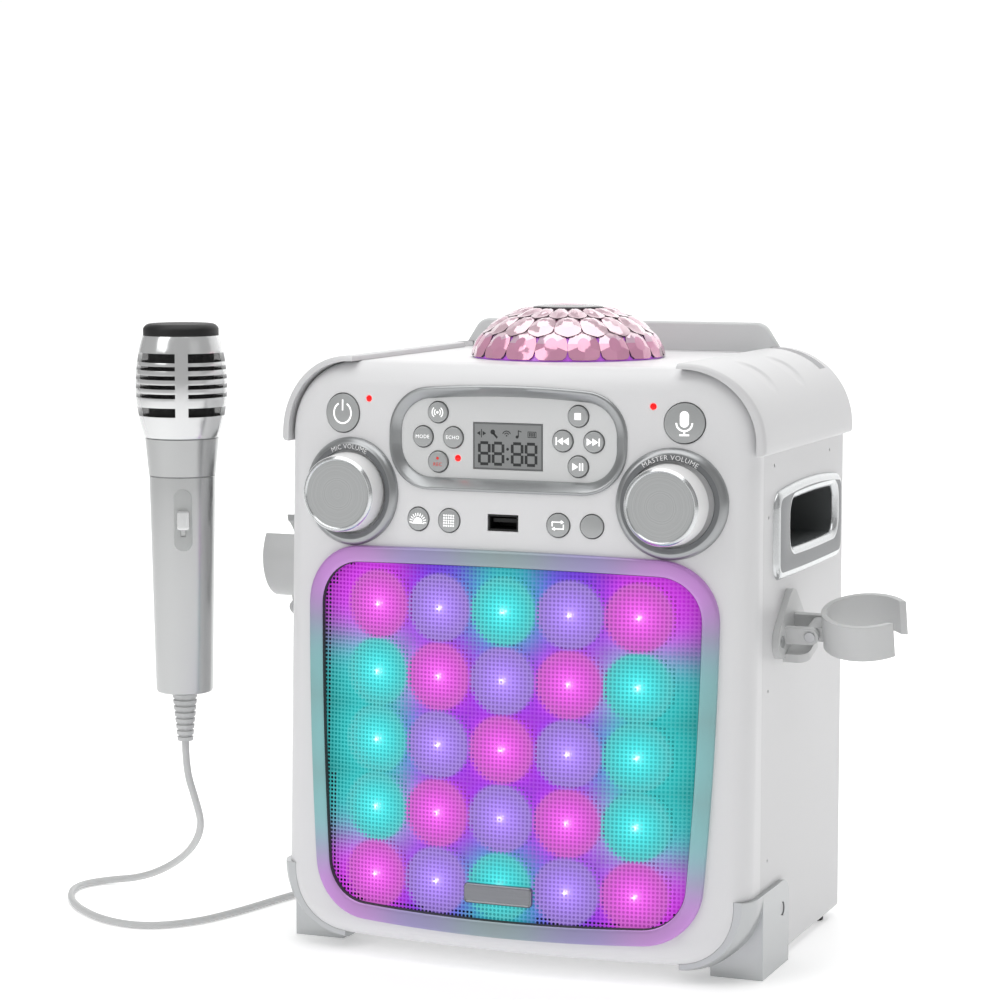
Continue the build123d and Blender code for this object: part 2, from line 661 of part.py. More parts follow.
def knob(side):
    """Tapered knob with a blind bore that turns on the shaft of its board."""
    place = (side * KNOB_X, KNOB_Z)
    length = KNOB_BACK_Y - KNOB_FRONT_Y
    with BuildPart() as turned:
        with BuildSketch(front_plane(KNOB_BACK_Y)):
            with Locations(place):
                Circle(KNOB_BASE_RADIUS)
        with BuildSketch(front_plane(KNOB_FRONT_Y)):
            with Locations(place):
                Circle(KNOB_FACE_RADIUS)
        loft()
        fillet(turned.faces().sort_by(Axis.Y)[0].edges(), 1.0)
        with BuildSketch(front_plane(KNOB_BACK_Y)):
            with Locations(place):
                Circle(KNOB_SHAFT_RADIUS + RUNNING)
        extrude(amount=min(KNOB_SHAFT_DEPTH, length - WALL), mode=Mode.SUBTRACT)
    return turned.part


keep(knob(-1), "left_knob")
keep(knob(1), "right_knob")

# ---------------------------------------------------------------- rear shell
INNER_REAR_Y = REAR_Y - WALL
POCKET_PLAY = WALL           # the side walls are cut this far past each face
MAIN_BOARD_THICK = 1.6
STANDOFF_RADIUS = 3.0
STANDOFF_X = 62.0
STANDOFF_LEVELS = (38.0, 98.0)
MAIN_BOARD_MARGIN = 8.0
CHIP_SIZE = 15.0
CHIP_HEIGHT = 6.0
PIN_HOLE_RADIUS = 0.75
PIN_HOLES = ((-30.0, 228.0), (60.5, 227.6), (-38.0, 205.5), (-36.6, 128.0), (-35.5, 51.4))


def shell_outline(inset, plane):
    """Front view of the rear shell, moved inwards: round above, nearly square below."""
    half = HALF_WIDTH - inset
    low = SHELL_BOTTOM + inset
    high = DECK_TOP - inset
    with BuildSketch(plane) as outline:
        with Locations((0, (low + high) / 2)):
            Rectangle(2 * half, high - low)
        fillet(outline.vertices().group_by(Axis.Y)[-1], TOP_CORNER - inset)
        fillet(outline.vertices().group_by(Axis.Y)[0], max(SHELL_CORNER - inset, 0.4))
    return outline.sketch


def side_window(grow, x):
    """Outline of a handle pocket, on a plane that faces +X."""
    with BuildSketch(Plane.YZ.offset(x)) as outline:
        with Locations(((POCKET_FRONT_Y + POCKET_REAR_Y) / 2, (POCKET_BOTTOM + POCKET_TOP) / 2)):
            RectangleRounded(
                POCKET_REAR_Y - POCKET_FRONT_Y + 2 * grow,
                POCKET_TOP - POCKET_BOTTOM + 2 * grow,
                POCKET_CORNER + grow)
    return outline.sketch


def jack_window(grow, plane):
    """Outline of the jack panel's plate."""
    with BuildSketch(plane) as outline:
        with Locations((JACK_PANEL_X, JACK_PANEL_Z)):
            RectangleRounded(JACK_PANEL_WIDTH + 2 * grow, JACK_PANEL_HEIGHT + 2 * grow, 3.0)
    return outline.sketch


standoffs = both_sides([(STANDOFF_X, level) for level in STANDOFF_LEVELS])

with BuildPart() as rear_shell:
    extrude(shell_outline(0, front_plane(REAR_Y)), REAR_Y - SEAM_Y)
    fillet(rear_shell.faces().sort_by(Axis.Y)[-1].edges(), REAR_EDGE)
    extrude(
        shell_outline(WALL, front_plane(INNER_REAR_Y)), INNER_REAR_Y - SEAM_Y - WALL,
        mode=Mode.SUBTRACT)
    extrude(
        housing_outline(2 * WALL, front_plane(SEAM_Y + WALL)), WALL, mode=Mode.SUBTRACT)
    with Locations((0, (SEAM_Y + INNER_REAR_Y) / 2, DECK_TOP)):
        Box(2 * DECK_HALF_WIDTH, INNER_REAR_Y - SEAM_Y, 2 * DECK_THICK, mode=Mode.SUBTRACT)
    with Locations((0, INNER_REAR_Y, DECK_TOP)):
        Box(
            2 * (DECK_HALF_WIDTH - DECK_LEDGE), INNER_REAR_Y - SEAM_Y - WALL, 4 * WALL,
            align=(Align.CENTER, Align.MAX, Align.CENTER), mode=Mode.SUBTRACT)
    extrude(
        side_window(POCKET_WALL, -HALF_WIDTH - POCKET_PLAY), 2 * (HALF_WIDTH + POCKET_PLAY),
        mode=Mode.SUBTRACT)
    extrude(
        jack_window(-WALL, front_plane(REAR_Y)), WALL, mode=Mode.SUBTRACT)
    extrude(
        discs(standoffs, STANDOFF_RADIUS, front_plane(INNER_REAR_Y)),
        INNER_REAR_Y - MAIN_BOARD_Y - MAIN_BOARD_THICK)
    with BuildSketch(Plane.YZ.offset(-HALF_WIDTH)):
        with Locations(*PIN_HOLES):
            Circle(PIN_HOLE_RADIUS)
    extrude(amount=CABINET_WIDTH, mode=Mode.SUBTRACT)
keep(rear_shell.part, "rear_shell")

with BuildPart() as main_board:
    with BuildSketch(front_plane(MAIN_BOARD_Y + MAIN_BOARD_THICK)):
        with Locations((0, sum(STANDOFF_LEVELS) / 2)):
            Rectangle(
                2 * (STANDOFF_X + MAIN_BOARD_MARGIN),
                STANDOFF_LEVELS[1] - STANDOFF_LEVELS[0] + 2 * MAIN_BOARD_MARGIN)
    extrude(amount=MAIN_BOARD_THICK)
    with BuildSketch(front_plane(MAIN_BOARD_Y)):
        with Locations((-STANDOFF_X / 2, sum(STANDOFF_LEVELS) / 2 + CHIP_SIZE)):
            Rectangle(CHIP_SIZE, CHIP_SIZE)
        with Locations((STANDOFF_X / 2, sum(STANDOFF_LEVELS) / 2 + CHIP_SIZE)):
            Rectangle(2 * CHIP_SIZE, CHIP_SIZE)
    extrude(amount=CHIP_HEIGHT)
keep(main_board.part, "main_board")

with BuildPart() as battery_pack:
    with Locations((0, BATTERY_Y, SHELL_BOTTOM + WALL)):
        Box(
            BATTERY_WIDTH, BATTERY_DEPTH, BATTERY_HEIGHT,
            align=(Align.CENTER, Align.CENTER, Align.MIN))
    fillet(battery_pack.edges().filter_by(Axis.Z), 4.0)
keep(battery_pack.part, "battery_pack")

# ---------------------------------------------------------------- rear jack panel
SMALL_JACK_MARGIN = 9.0      # from the panel's end to the middle of the last jack
MIC_JACKS = [
    (JACK_PANEL_X - JACK_SPACING / 2, JACK_PANEL_Z),
    (JACK_PANEL_X + JACK_SPACING / 2, JACK_PANEL_Z),
]
AUX_PLACE = (JACK_PANEL_X + JACK_PANEL_WIDTH / 2 - SMALL_JACK_MARGIN, JACK_PANEL_Z)
POWER_PLACE = (JACK_PANEL_X - JACK_PANEL_WIDTH / 2 + SMALL_JACK_MARGIN, JACK_PANEL_Z)
POWER_BORE_RADIUS = 2.9
POWER_PIN_RADIUS = 0.7
JACK_BODY_RADIUS = 6.0
SMALL_JACK_RADIUS = 4.5
JACK_END = 2.0               # solid end behind a jack's bore
JACK_PLATE_PROUD = 1.0
JACK_FRONT_Y = REAR_Y + JACK_PLATE_PROUD - JACK_DEPTH
with BuildPart() as jack_panel:
    extrude(jack_window(0, front_plane(REAR_Y + JACK_PLATE_PROUD)), JACK_PLATE_PROUD)
    extrude(jack_window(-WALL - FIT, front_plane(REAR_Y)), WALL)
    extrude(
        discs(MIC_JACKS, JACK_BODY_RADIUS, front_plane(REAR_Y)),
        REAR_Y - JACK_FRONT_Y + JACK_END)
    extrude(
        discs([AUX_PLACE, POWER_PLACE], SMALL_JACK_RADIUS, front_plane(REAR_Y)),
        AUX_DEPTH - JACK_PLATE_PROUD + JACK_END)
    extrude(
        discs(MIC_JACKS, JACK_BORE_RADIUS, front_plane(REAR_Y + JACK_PLATE_PROUD)),
        JACK_DEPTH, mode=Mode.SUBTRACT)
    extrude(
        discs([AUX_PLACE], AUX_BORE_RADIUS, front_plane(REAR_Y + JACK_PLATE_PROUD)),
        AUX_DEPTH, mode=Mode.SUBTRACT)
    with BuildSketch(front_plane(REAR_Y + JACK_PLATE_PROUD)):
        with Locations(POWER_PLACE):
            Circle(POWER_BORE_RADIUS)
            Circle(POWER_PIN_RADIUS, mode=Mode.SUBTRACT)
    extrude(amount=AUX_DEPTH - JACK_END, mode=Mode.SUBTRACT)
keep(jack_panel.part, "jack_panel")

# ---------------------------------------------------------------- handles
with BuildPart() as handle_pockets:
    extrude(
        side_window(POCKET_WALL, HALF_WIDTH - POCKET_DEPTH - POCKET_WALL),
        POCKET_DEPTH + POCKET_WALL)
    extrude(side_window(0, HALF_WIDTH - POCKET_DEPTH), POCKET_DEPTH, mode=Mode.SUBTRACT)
    mirror(about=Plane.YZ)
keep(handle_pockets.part, "handle_pockets")

with BuildPart() as handle_trims:
    with BuildSketch(Plane.YZ.offset(HALF_WIDTH)):
        with Locations(((TRIM_FRONT_Y + TRIM_REAR_Y) / 2, (TRIM_BOTTOM + TRIM_TOP) / 2)):
            RectangleRounded(TRIM_REAR_Y - TRIM_FRONT_Y, TRIM_TOP - TRIM_BOTTOM, TRIM_CORNER)
    extrude(amount=TRIM_PROUD, taper=TRIM_OUTER_SLOPE)
    extrude(side_window(0, HALF_WIDTH), TRIM_PROUD, taper=-TRIM_INNER_SLOPE, mode=Mode.SUBTRACT)
    mirror(about=Plane.YZ)
keep(handle_trims.part, "handle_trims")

# ---------------------------------------------------------------- top deck, tablet rest, dome
TROUGH_WALL = 1.5
GROOVE_Y = (GROOVE_FRONT_Y + GROOVE_REAR_Y) / 2
GROOVE_WIDTH = GROOVE_REAR_Y - GROOVE_FRONT_Y
HUB_RADIUS = 4.0
trough_half_width = DECK_HALF_WIDTH - DECK_LEDGE - FIT
DOME_BOTTOM = DECK_TOP + MOVING

with BuildPart() as top_deck:
    with Locations((0, (SEAM_Y + INNER_REAR_Y) / 2, DECK_TOP)):
        Box(
            2 * DECK_HALF_WIDTH, INNER_REAR_Y - SEAM_Y, DECK_THICK,
            align=(Align.CENTER, Align.CENTER, Align.MAX))
    with Locations((0, GROOVE_Y, DECK_TOP)):
        Box(
            2 * trough_half_width, GROOVE_WIDTH + 2 * TROUGH_WALL, GROOVE_DEPTH + TROUGH_WALL,
            align=(Align.CENTER, Align.CENTER, Align.MAX))
        Box(
            2 * (trough_half_width - TROUGH_WALL), GROOVE_WIDTH, 2 * GROOVE_DEPTH,
            mode=Mode.SUBTRACT)
    with Locations((0, DOME_Y, DECK_TOP)):
        Hole(MOTOR_SHAFT_RADIUS + MOVING)
keep(top_deck.part, "top_deck")

with BuildPart() as tablet_rest:
    with BuildSketch(front_plane(REAR_Y)) as rest_outline:
        with BuildLine():
            Polyline(
                (DECK_HALF_WIDTH - FIT, DECK_TOP),
                (DECK_HALF_WIDTH - FIT, SHOULDER_TOP),
                (REST_BASE_HALF_WIDTH, SHOULDER_TOP),
                (REST_TOP_HALF_WIDTH, REST_TOP),
                (-REST_TOP_HALF_WIDTH, REST_TOP),
                (-REST_BASE_HALF_WIDTH, SHOULDER_TOP),
                (-DECK_HALF_WIDTH + FIT, SHOULDER_TOP),
                (-DECK_HALF_WIDTH + FIT, DECK_TOP),
                close=True,
            )
        make_face()
        fillet(rest_outline.vertices().group_by(Axis.Y)[-1], 8.0)
    extrude(amount=REAR_Y - REST_FRONT_Y)
    fillet(tablet_rest.edges().filter_by(Axis.X).group_by(Axis.Z)[-1], 1.4)
keep(tablet_rest.part, "tablet_rest")

with BuildPart() as dome_motor:
    with Locations((0, DOME_Y, DECK_TOP - DECK_THICK)):
        Cylinder(MOTOR_RADIUS, MOTOR_HEIGHT, align=(Align.CENTER, Align.CENTER, Align.MAX))
        Cylinder(
            MOTOR_SHAFT_RADIUS, DOME_UPPER_RISE + DECK_THICK,
            align=(Align.CENTER, Align.CENTER, Align.MIN))
keep(dome_motor.part, "dome_motor")


def dome_solid(inset):
    """Stack of flat-sided rings of the dome, moved inwards."""
    rings = (
        (DOME_BASE_RADIUS, 0.0),
        (DOME_MIDDLE_RADIUS, DOME_MIDDLE_RISE),
        (DOME_UPPER_RADIUS, DOME_UPPER_RISE),
        (DOME_CROWN_RADIUS, DOME_CROWN_RISE),
    )
    with BuildPart() as solid:
        for radius, rise in rings:
            level = DOME_BOTTOM + max(rise - inset, 0.0)
            with BuildSketch(Plane.XY.offset(level)):
                with Locations((0, DOME_Y)):
                    RegularPolygon(radius - inset, DOME_SIDES)
        loft(ruled=True)
    return solid.part


with BuildPart() as disco_dome:
    add(dome_solid(0))
    add(dome_solid(DOME_WALL), mode=Mode.SUBTRACT)
    with Locations((0, DOME_Y, DOME_BOTTOM + 1.0)):
        Cylinder(
            HUB_RADIUS, DOME_CROWN_RISE - 1.5, align=(Align.CENTER, Align.CENTER, Align.MIN))
    with Locations((0, DOME_Y, DOME_BOTTOM)):
        Cylinder(
            MOTOR_SHAFT_RADIUS + RUNNING, DOME_UPPER_RISE + 0.5,
            align=(Align.CENTER, Align.CENTER, Align.MIN), mode=Mode.SUBTRACT)
keep(disco_dome.part, "disco_dome")

CAP_RADIUS = DOME_CROWN_RADIUS - 1.6
CAP_LEVEL = DOME_BOTTOM + DOME_CROWN_RISE
LENS_RADIUS = 10.0
LENS_LEVEL = CAP_LEVEL + 1.5
lens_rise = DOME_CAP_TOP - LENS_LEVEL
lens_sphere = (LENS_RADIUS**2 + lens_rise**2) / (2 * lens_rise)
lens_middle = DOME_CAP_TOP - lens_sphere + sqrt(lens_sphere**2 - (LENS_RADIUS / 2)**2)
with BuildPart() as dome_cap:
    with BuildSketch(Plane.XZ.offset(-DOME_Y)):
        with BuildLine():
            Polyline(
                (0, CAP_LEVEL),
                (CAP_RADIUS, CAP_LEVEL),
                (CAP_RADIUS - 0.4, CAP_LEVEL + 1.0),
                (LENS_RADIUS, LENS_LEVEL),
            )
            ThreePointArc(
                (LENS_RADIUS, LENS_LEVEL), (LENS_RADIUS / 2, lens_middle), (0, DOME_CAP_TOP))
            Line((0, DOME_CAP_TOP), (0, CAP_LEVEL))
        make_face()
    revolve(axis=Axis((0, DOME_Y, 0), (0, 0, 1)))
keep(dome_cap.part, "dome_cap")

# ---------------------------------------------------------------- shoulders
SHOULDER_SIDE = SHOULDER_CENTRE_X + SHOULDER_RADIUS


def shoulder(side):
    """Thick cover over an upper corner, from the bowed face to the rear."""
    corner = SHOULDER_RADIUS / sqrt(2)
    with BuildPart() as cover:
        with BuildSketch(front_plane(REAR_Y)):
            with BuildLine():
                Polyline(
                    (side * SHOULDER_SIDE, SHOULDER_CENTRE_Z),
                    (side * SHOULDER_SIDE, SHOULDER_BOTTOM),
                    (side * DECK_HALF_WIDTH, SHOULDER_BOTTOM),
                    (side * DECK_HALF_WIDTH, SHOULDER_TOP),
                    (side * SHOULDER_CENTRE_X, SHOULDER_TOP),
                )
                ThreePointArc(
                    (side * SHOULDER_CENTRE_X, SHOULDER_TOP),
                    (side * (SHOULDER_CENTRE_X + corner), SHOULDER_CENTRE_Z + corner),
                    (side * SHOULDER_SIDE, SHOULDER_CENTRE_Z))
            make_face()
        extrude(amount=FRONT_REACH + REAR_Y)
        add(behind_bow(0), mode=Mode.INTERSECT)
        add(housing_form(0), mode=Mode.SUBTRACT)
        extrude(shell_outline(0, front_plane(REAR_Y)), REAR_Y - SEAM_Y, mode=Mode.SUBTRACT)
        with Locations((side * DECK_HALF_WIDTH, GROOVE_Y, SHOULDER_TOP)):
            Box(
                2 * (GROOVE_HALF_WIDTH - DECK_HALF_WIDTH), GROOVE_WIDTH, 2 * TOP_CORNER,
                mode=Mode.SUBTRACT)
    return cover.part


keep(shoulder(-1), "left_shoulder")
keep(shoulder(1), "right_shoulder")

# ---------------------------------------------------------------- microphone holders
SKEW = radians(HOLDER_SKEW)
HINGE_LINE = Vector(0, cos(SKEW), sin(SKEW))
RING_UP = Vector(0, -sin(SKEW), cos(SKEW))
BASE_FACE_X = HALF_WIDTH + BASE_THICK
BARREL_RADIUS = 3.3
SHELF_TOP = -8.0
SHELF_THICK = 4.0
SHELF_HALF_WIDTH = 11.0
PIN_HEAD = 0.6
BASE_CORNERS = ((-7.0, 173.0), (-45.0, 141.0), (29.0, 140.5))
HOLDER_SCREWS = ((-25.5, 148.6), (10.5, 148.2))


def hinge_point(side, along=0.0, up=0.0):
    """Point near a hinge: along its line and up across it."""
    return Vector(side * HINGE_X, HINGE_Y, HINGE_Z) + HINGE_LINE * along + RING_UP * up


def holder_ring(plane, low, high):
    """Open ring on a tang; the plane's X points from the hinge to the ring's middle."""
    half_tang = EAR_INNER - MOVING
    with BuildPart() as ring:
        with BuildSketch(plane.offset(low)):
            with Locations((RING_REACH, 0)):
                Circle(RING_RADIUS)
                Circle(RING_RADIUS - RING_WALL, mode=Mode.SUBTRACT)
            with Locations((RING_REACH + RING_RADIUS, 0)):
                Rectangle(RING_RADIUS, 2 * RING_HALF_GAP, mode=Mode.SUBTRACT)
        extrude(amount=high - low)
        with BuildSketch(plane.offset(-BARREL_RADIUS)):
            with Locations(((RING_REACH - RING_RADIUS + RING_WALL / 2) / 2, 0)):
                Rectangle(RING_REACH - RING_RADIUS + RING_WALL / 2, 2 * half_tang)
        extrude(amount=2 * BARREL_RADIUS)
        barrel_plane = Plane(
            origin=plane.origin - plane.y_dir * half_tang, x_dir=plane.x_dir, z_dir=plane.y_dir)
        with BuildSketch(barrel_plane):
            Circle(BARREL_RADIUS)
        extrude(amount=2 * half_tang)
        with BuildSketch(barrel_plane):
            Circle(HINGE_PIN_RADIUS + RUNNING)
        extrude(amount=2 * half_tang, mode=Mode.SUBTRACT)
    return ring.part


right_ring_plane = Plane(origin=hinge_point(1), x_dir=(1, 0, 0), z_dir=RING_UP)
left_ring_plane = Plane(origin=hinge_point(-1), x_dir=RING_UP, z_dir=(1, 0, 0))
keep(holder_ring(left_ring_plane, LEFT_RING_LOW, LEFT_RING_HIGH), "left_holder_ring")
keep(holder_ring(right_ring_plane, RIGHT_RING_LOW, RIGHT_RING_HIGH), "right_holder_ring")

ear_reach = HINGE_X - BASE_FACE_X
with BuildPart() as holder_bases:
    with BuildSketch(Plane.YZ.offset(HALF_WIDTH)) as base_outline:
        with BuildLine():
            Polyline(*BASE_CORNERS, close=True)
        make_face()
        fillet(base_outline.vertices(), 8.0)
    extrude(amount=BASE_THICK)
    for along in (EAR_INNER, -EAR_INNER - EAR_THICK):
        with BuildSketch(Plane(origin=hinge_point(1, along), x_dir=(1, 0, 0), z_dir=HINGE_LINE)):
            Circle(EAR_RADIUS)
            with Locations((-ear_reach / 2, 0)):
                Rectangle(ear_reach, 2 * EAR_RADIUS)
        extrude(amount=EAR_THICK)
    shelf_plane = Plane(
        origin=hinge_point(1, 0, SHELF_TOP), x_dir=(1, 0, 0), z_dir=RING_UP)
    with BuildSketch(shelf_plane) as shelf_outline:
        with Locations((-ear_reach / 2 - 1.3, 0)):
            Rectangle(ear_reach, 2 * SHELF_HALF_WIDTH)
        fillet(shelf_outline.vertices().group_by(Axis.X)[-1], 5.0)
    extrude(amount=-SHELF_THICK)
    with BuildSketch(Plane(
            origin=hinge_point(1, -2 * EAR_INNER), x_dir=(1, 0, 0), z_dir=HINGE_LINE)):
        Circle(HINGE_PIN_RADIUS)
    extrude(amount=4 * EAR_INNER, mode=Mode.SUBTRACT)
    with BuildSketch(Plane.YZ.offset(HALF_WIDTH)):
        with Locations(*HOLDER_SCREWS):
            Circle(SCREW_HEAD_RADIUS / 2)
    extrude(amount=BASE_THICK, mode=Mode.SUBTRACT)
    split(bisect_by=Plane.YZ.offset(HALF_WIDTH))
    mirror(about=Plane.YZ)
keep(holder_bases.part, "holder_bases")

pin_end = EAR_INNER + EAR_THICK
with BuildPart() as holder_pins:
    for along, radius, length in (
        (-pin_end, HINGE_PIN_RADIUS, 2 * pin_end),
        (-pin_end - PIN_HEAD, EAR_RADIUS - 1.4, PIN_HEAD),
        (pin_end, EAR_RADIUS - 1.4, PIN_HEAD),
    ):
        with BuildSketch(Plane(origin=hinge_point(1, along), x_dir=(1, 0, 0), z_dir=HINGE_LINE)):
            Circle(radius)
        extrude(amount=length)
    mirror(about=Plane.YZ)
keep(holder_pins.part, "holder_pins")

# ---------------------------------------------------------------- feet
FOOT_OUTER_X = HALF_WIDTH + FOOT_BAND
foot_clip_width = FOOT_OUTER_X - FOOT_INNER_X
with BuildSketch(front_plane(SEAM_Y)) as foot_band:
    add(housing_outline(-FOOT_BAND, front_plane(SEAM_Y)))
    with Locations((FOOT_OUTER_X - foot_clip_width / 2, FOOT_TOP / 2)):
        Rectangle(foot_clip_width, FOOT_TOP, mode=Mode.INTERSECT)
with BuildPart() as corner_feet:
    extrude(foot_band.sketch, SEAM_Y - FOOT_FRONT_Y)
    add(housing_form(-FOOT_BAND), mode=Mode.INTERSECT)
    with BuildSketch(front_plane(SEAM_Y)):
        with Locations(((FOOT_TOE_X + FOOT_OUTER_X) / 2, FOOT_TOP / 2)):
            Rectangle(FOOT_OUTER_X - FOOT_TOE_X, FOOT_TOP)
    extrude(amount=FOOT_FIN)
    add(housing_form(0), mode=Mode.SUBTRACT)
    with BuildSketch(Plane.YZ.offset(HALF_WIDTH)) as leg_outline:
        with Locations(((SEAM_Y + FOOT_REAR_Y) / 2, FOOT_TOP / 2)):
            leg = Rectangle(FOOT_REAR_Y - SEAM_Y, FOOT_TOP)
        fillet(leg.vertices().sort_by(Axis((0, 0, 0), (1, 1, 0)))[-1], FOOT_CORNER)
    extrude(amount=FOOT_BAND)
    with Locations(((FOOT_TOE_X + FOOT_OUTER_X) / 2, (SEAM_Y + FOOT_REAR_Y) / 2, 0)):
        Box(
            FOOT_OUTER_X - FOOT_TOE_X, FOOT_REAR_Y - SEAM_Y, SHELL_BOTTOM,
            align=(Align.CENTER, Align.CENTER, Align.MIN))
    with BuildSketch(Plane.YZ.offset(FOOT_OUTER_X)):
        with Locations((FOOT_SCREW_Y, FOOT_SCREW_Z)):
            Circle(SCREW_HEAD_RADIUS + 0.6)
    extrude(amount=-1.2, mode=Mode.SUBTRACT)
    mirror(about=Plane.YZ)
keep(corner_feet.part, "corner_feet")

with BuildPart() as rear_feet:
    with BuildSketch(Plane.XY):
        with Locations((REAR_FOOT_X, REAR_FOOT_Y), (-REAR_FOOT_X, REAR_FOOT_Y)):
            Circle(REAR_FOOT_RADIUS)
    extrude(amount=SHELL_BOTTOM)
keep(rear_feet.part, "rear_feet")

# ---------------------------------------------------------------- screws
SCREW_HEAD = 0.8
REAR_SCREW_X = HALF_WIDTH - 14.0
REAR_SCREWS = both_sides([(REAR_SCREW_X, level) for level in (22.0, 130.0, 236.0)])
PANEL_SCREW_MARGIN = 3.5
PANEL_SCREWS = [
    (
        JACK_PANEL_X + side * (JACK_PANEL_WIDTH / 2 - PANEL_SCREW_MARGIN),
        JACK_PANEL_Z + level * (JACK_PANEL_HEIGHT / 2 - PANEL_SCREW_MARGIN),
    )
    for side in (-1, 1) for level in (-1, 1)
]
with BuildPart() as screws:
    extrude(discs(REAR_SCREWS, SCREW_HEAD_RADIUS, front_plane(REAR_Y + SCREW_HEAD)), SCREW_HEAD)
    extrude(
        discs(PANEL_SCREWS, SCREW_HEAD_RADIUS, front_plane(REAR_Y + JACK_PLATE_PROUD + SCREW_HEAD)),
        SCREW_HEAD)
    for x, radius, length, places in (
        (HALF_WIDTH, SCREW_HEAD_RADIUS / 2, BASE_THICK, HOLDER_SCREWS),
        (BASE_FACE_X, SCREW_HEAD_RADIUS, PIN_HEAD, HOLDER_SCREWS),
        (FOOT_OUTER_X - 1.2, SCREW_HEAD_RADIUS, SCREW_HEAD, [(FOOT_SCREW_Y, FOOT_SCREW_Z)]),
    ):
        for side in (-1, 1):
            with BuildSketch(Plane.YZ.offset(side * x)):
                with Locations(*places):
                    Circle(radius)
            extrude(amount=side * length)
keep(screws.part, "screws")

# ---------------------------------------------------------------- microphone
MIC_AXIS = Axis((MIC_X, MIC_Y, 0), (0, 0, 1))
MIC_SECTION = Plane(origin=(MIC_X, MIC_Y, 0), x_dir=(1, 0, 0), z_dir=(0, -1, 0))
TURN = radians(MIC_TURN)
MIC_FACING = Vector(sin(TURN), -cos(TURN), 0)
MIC_ACROSS = Vector(cos(TURN), sin(TURN), 0)
HEAD_MIDDLE = (MIC_HEAD_BOTTOM + MIC_CAP_BOTTOM) / 2
SCREEN_RADIUS = MIC_COLLAR_RADIUS - MIC_WALL - FIT
PLATE_PROUD = 0.5
PLATE_SEAT = 12.6            # distance of the plate's back from the axis


def mic_radius(z):
    """Radius of the tapered handle at a height."""
    share = (z - MIC_BOTTOM) / (MIC_NECK_BOTTOM - MIC_BOTTOM)
    return MIC_TAIL_RADIUS + share * (MIC_NECK_RADIUS - MIC_TAIL_RADIUS)


def mic_face(distance):
    """Plane across the switch's direction, at a distance from the microphone's axis."""
    return Plane(
        origin=Vector(MIC_X, MIC_Y, 0) + MIC_FACING * distance,
        x_dir=MIC_ACROSS, z_dir=MIC_FACING)


SWITCH_PLATE_TOP = MIC_NECK_BOTTOM - SWITCH_PLATE_DROP
SWITCH_HIGH = SWITCH_PLATE_TOP - SWITCH_DROP
SWITCH_MIDDLE = SWITCH_HIGH - SWITCH_LENGTH / 2
PLATE_FACE = mic_radius(SWITCH_PLATE_TOP) + PLATE_PROUD
PLATE_MIDDLE = SWITCH_PLATE_TOP - SWITCH_PLATE_LENGTH / 2
SLOT_WIDTH = 2.2
SLIDER_RISE = 1.8

with BuildPart() as mic_handle:
    with BuildSketch(MIC_SECTION) as handle_section:
        with BuildLine():
            Polyline(
                (0, MIC_HEAD_BOTTOM),
                (MIC_COLLAR_RADIUS, MIC_HEAD_BOTTOM),
                (MIC_NECK_RADIUS, MIC_NECK_BOTTOM),
                (MIC_TAIL_RADIUS, MIC_BOTTOM),
                (0, MIC_BOTTOM),
                close=True,
            )
        make_face()
        fillet(handle_section.vertices().sort_by(Axis((0, 0, 0), (1, -1, 0)))[-1], 1.5)
    revolve(axis=MIC_AXIS)
    with BuildSketch(MIC_SECTION):
        with BuildLine():
            Polyline(
                (0, MIC_HEAD_BOTTOM - MIC_WALL),
                (SCREEN_RADIUS - MIC_WALL, MIC_HEAD_BOTTOM - MIC_WALL),
                (PLATE_SEAT - MIC_WALL, MIC_NECK_BOTTOM - MIC_WALL),
                (PLATE_SEAT - 2 * MIC_WALL, MIC_BOTTOM + 3 * MIC_WALL),
                (0, MIC_BOTTOM + 3 * MIC_WALL),
                close=True,
            )
        make_face()
    revolve(axis=MIC_AXIS, mode=Mode.SUBTRACT)
    with BuildSketch(mic_face(PLATE_SEAT)):
        with Locations((0, PLATE_MIDDLE)):
            SlotOverall(SWITCH_PLATE_LENGTH + 2 * FIT, SWITCH_PLATE_WIDTH + 2 * FIT, rotation=90)
    extrude(amount=MIC_COLLAR_RADIUS, mode=Mode.SUBTRACT)
keep(mic_handle.part, "mic_handle")

with BuildPart() as mic_switch_plate:
    with BuildSketch(mic_face(PLATE_SEAT)):
        with Locations((0, PLATE_MIDDLE)):
            SlotOverall(SWITCH_PLATE_LENGTH, SWITCH_PLATE_WIDTH, rotation=90)
        with Locations((0, SWITCH_MIDDLE - SWITCH_TRAVEL / 2)):
            Rectangle(
                SLOT_WIDTH, SWITCH_LENGTH / 2 + SWITCH_TRAVEL + 2 * MOVING, mode=Mode.SUBTRACT)
    extrude(amount=PLATE_FACE - PLATE_SEAT)
keep(mic_switch_plate.part, "mic_switch_plate")

with BuildPart() as mic_switch:
    with BuildSketch(mic_face(PLATE_FACE + RUNNING)):
        with Locations((0, SWITCH_MIDDLE)):
            RectangleRounded(SWITCH_WIDTH, SWITCH_LENGTH, 1.2)
    extrude(amount=SLIDER_RISE)
    with BuildSketch(mic_face(PLATE_SEAT + FIT)):
        with Locations((0, SWITCH_MIDDLE)):
            Rectangle(SLOT_WIDTH - MOVING, SWITCH_LENGTH / 2)
    extrude(amount=PLATE_FACE + RUNNING - PLATE_SEAT - FIT)
keep(mic_switch.part, "mic_switch")


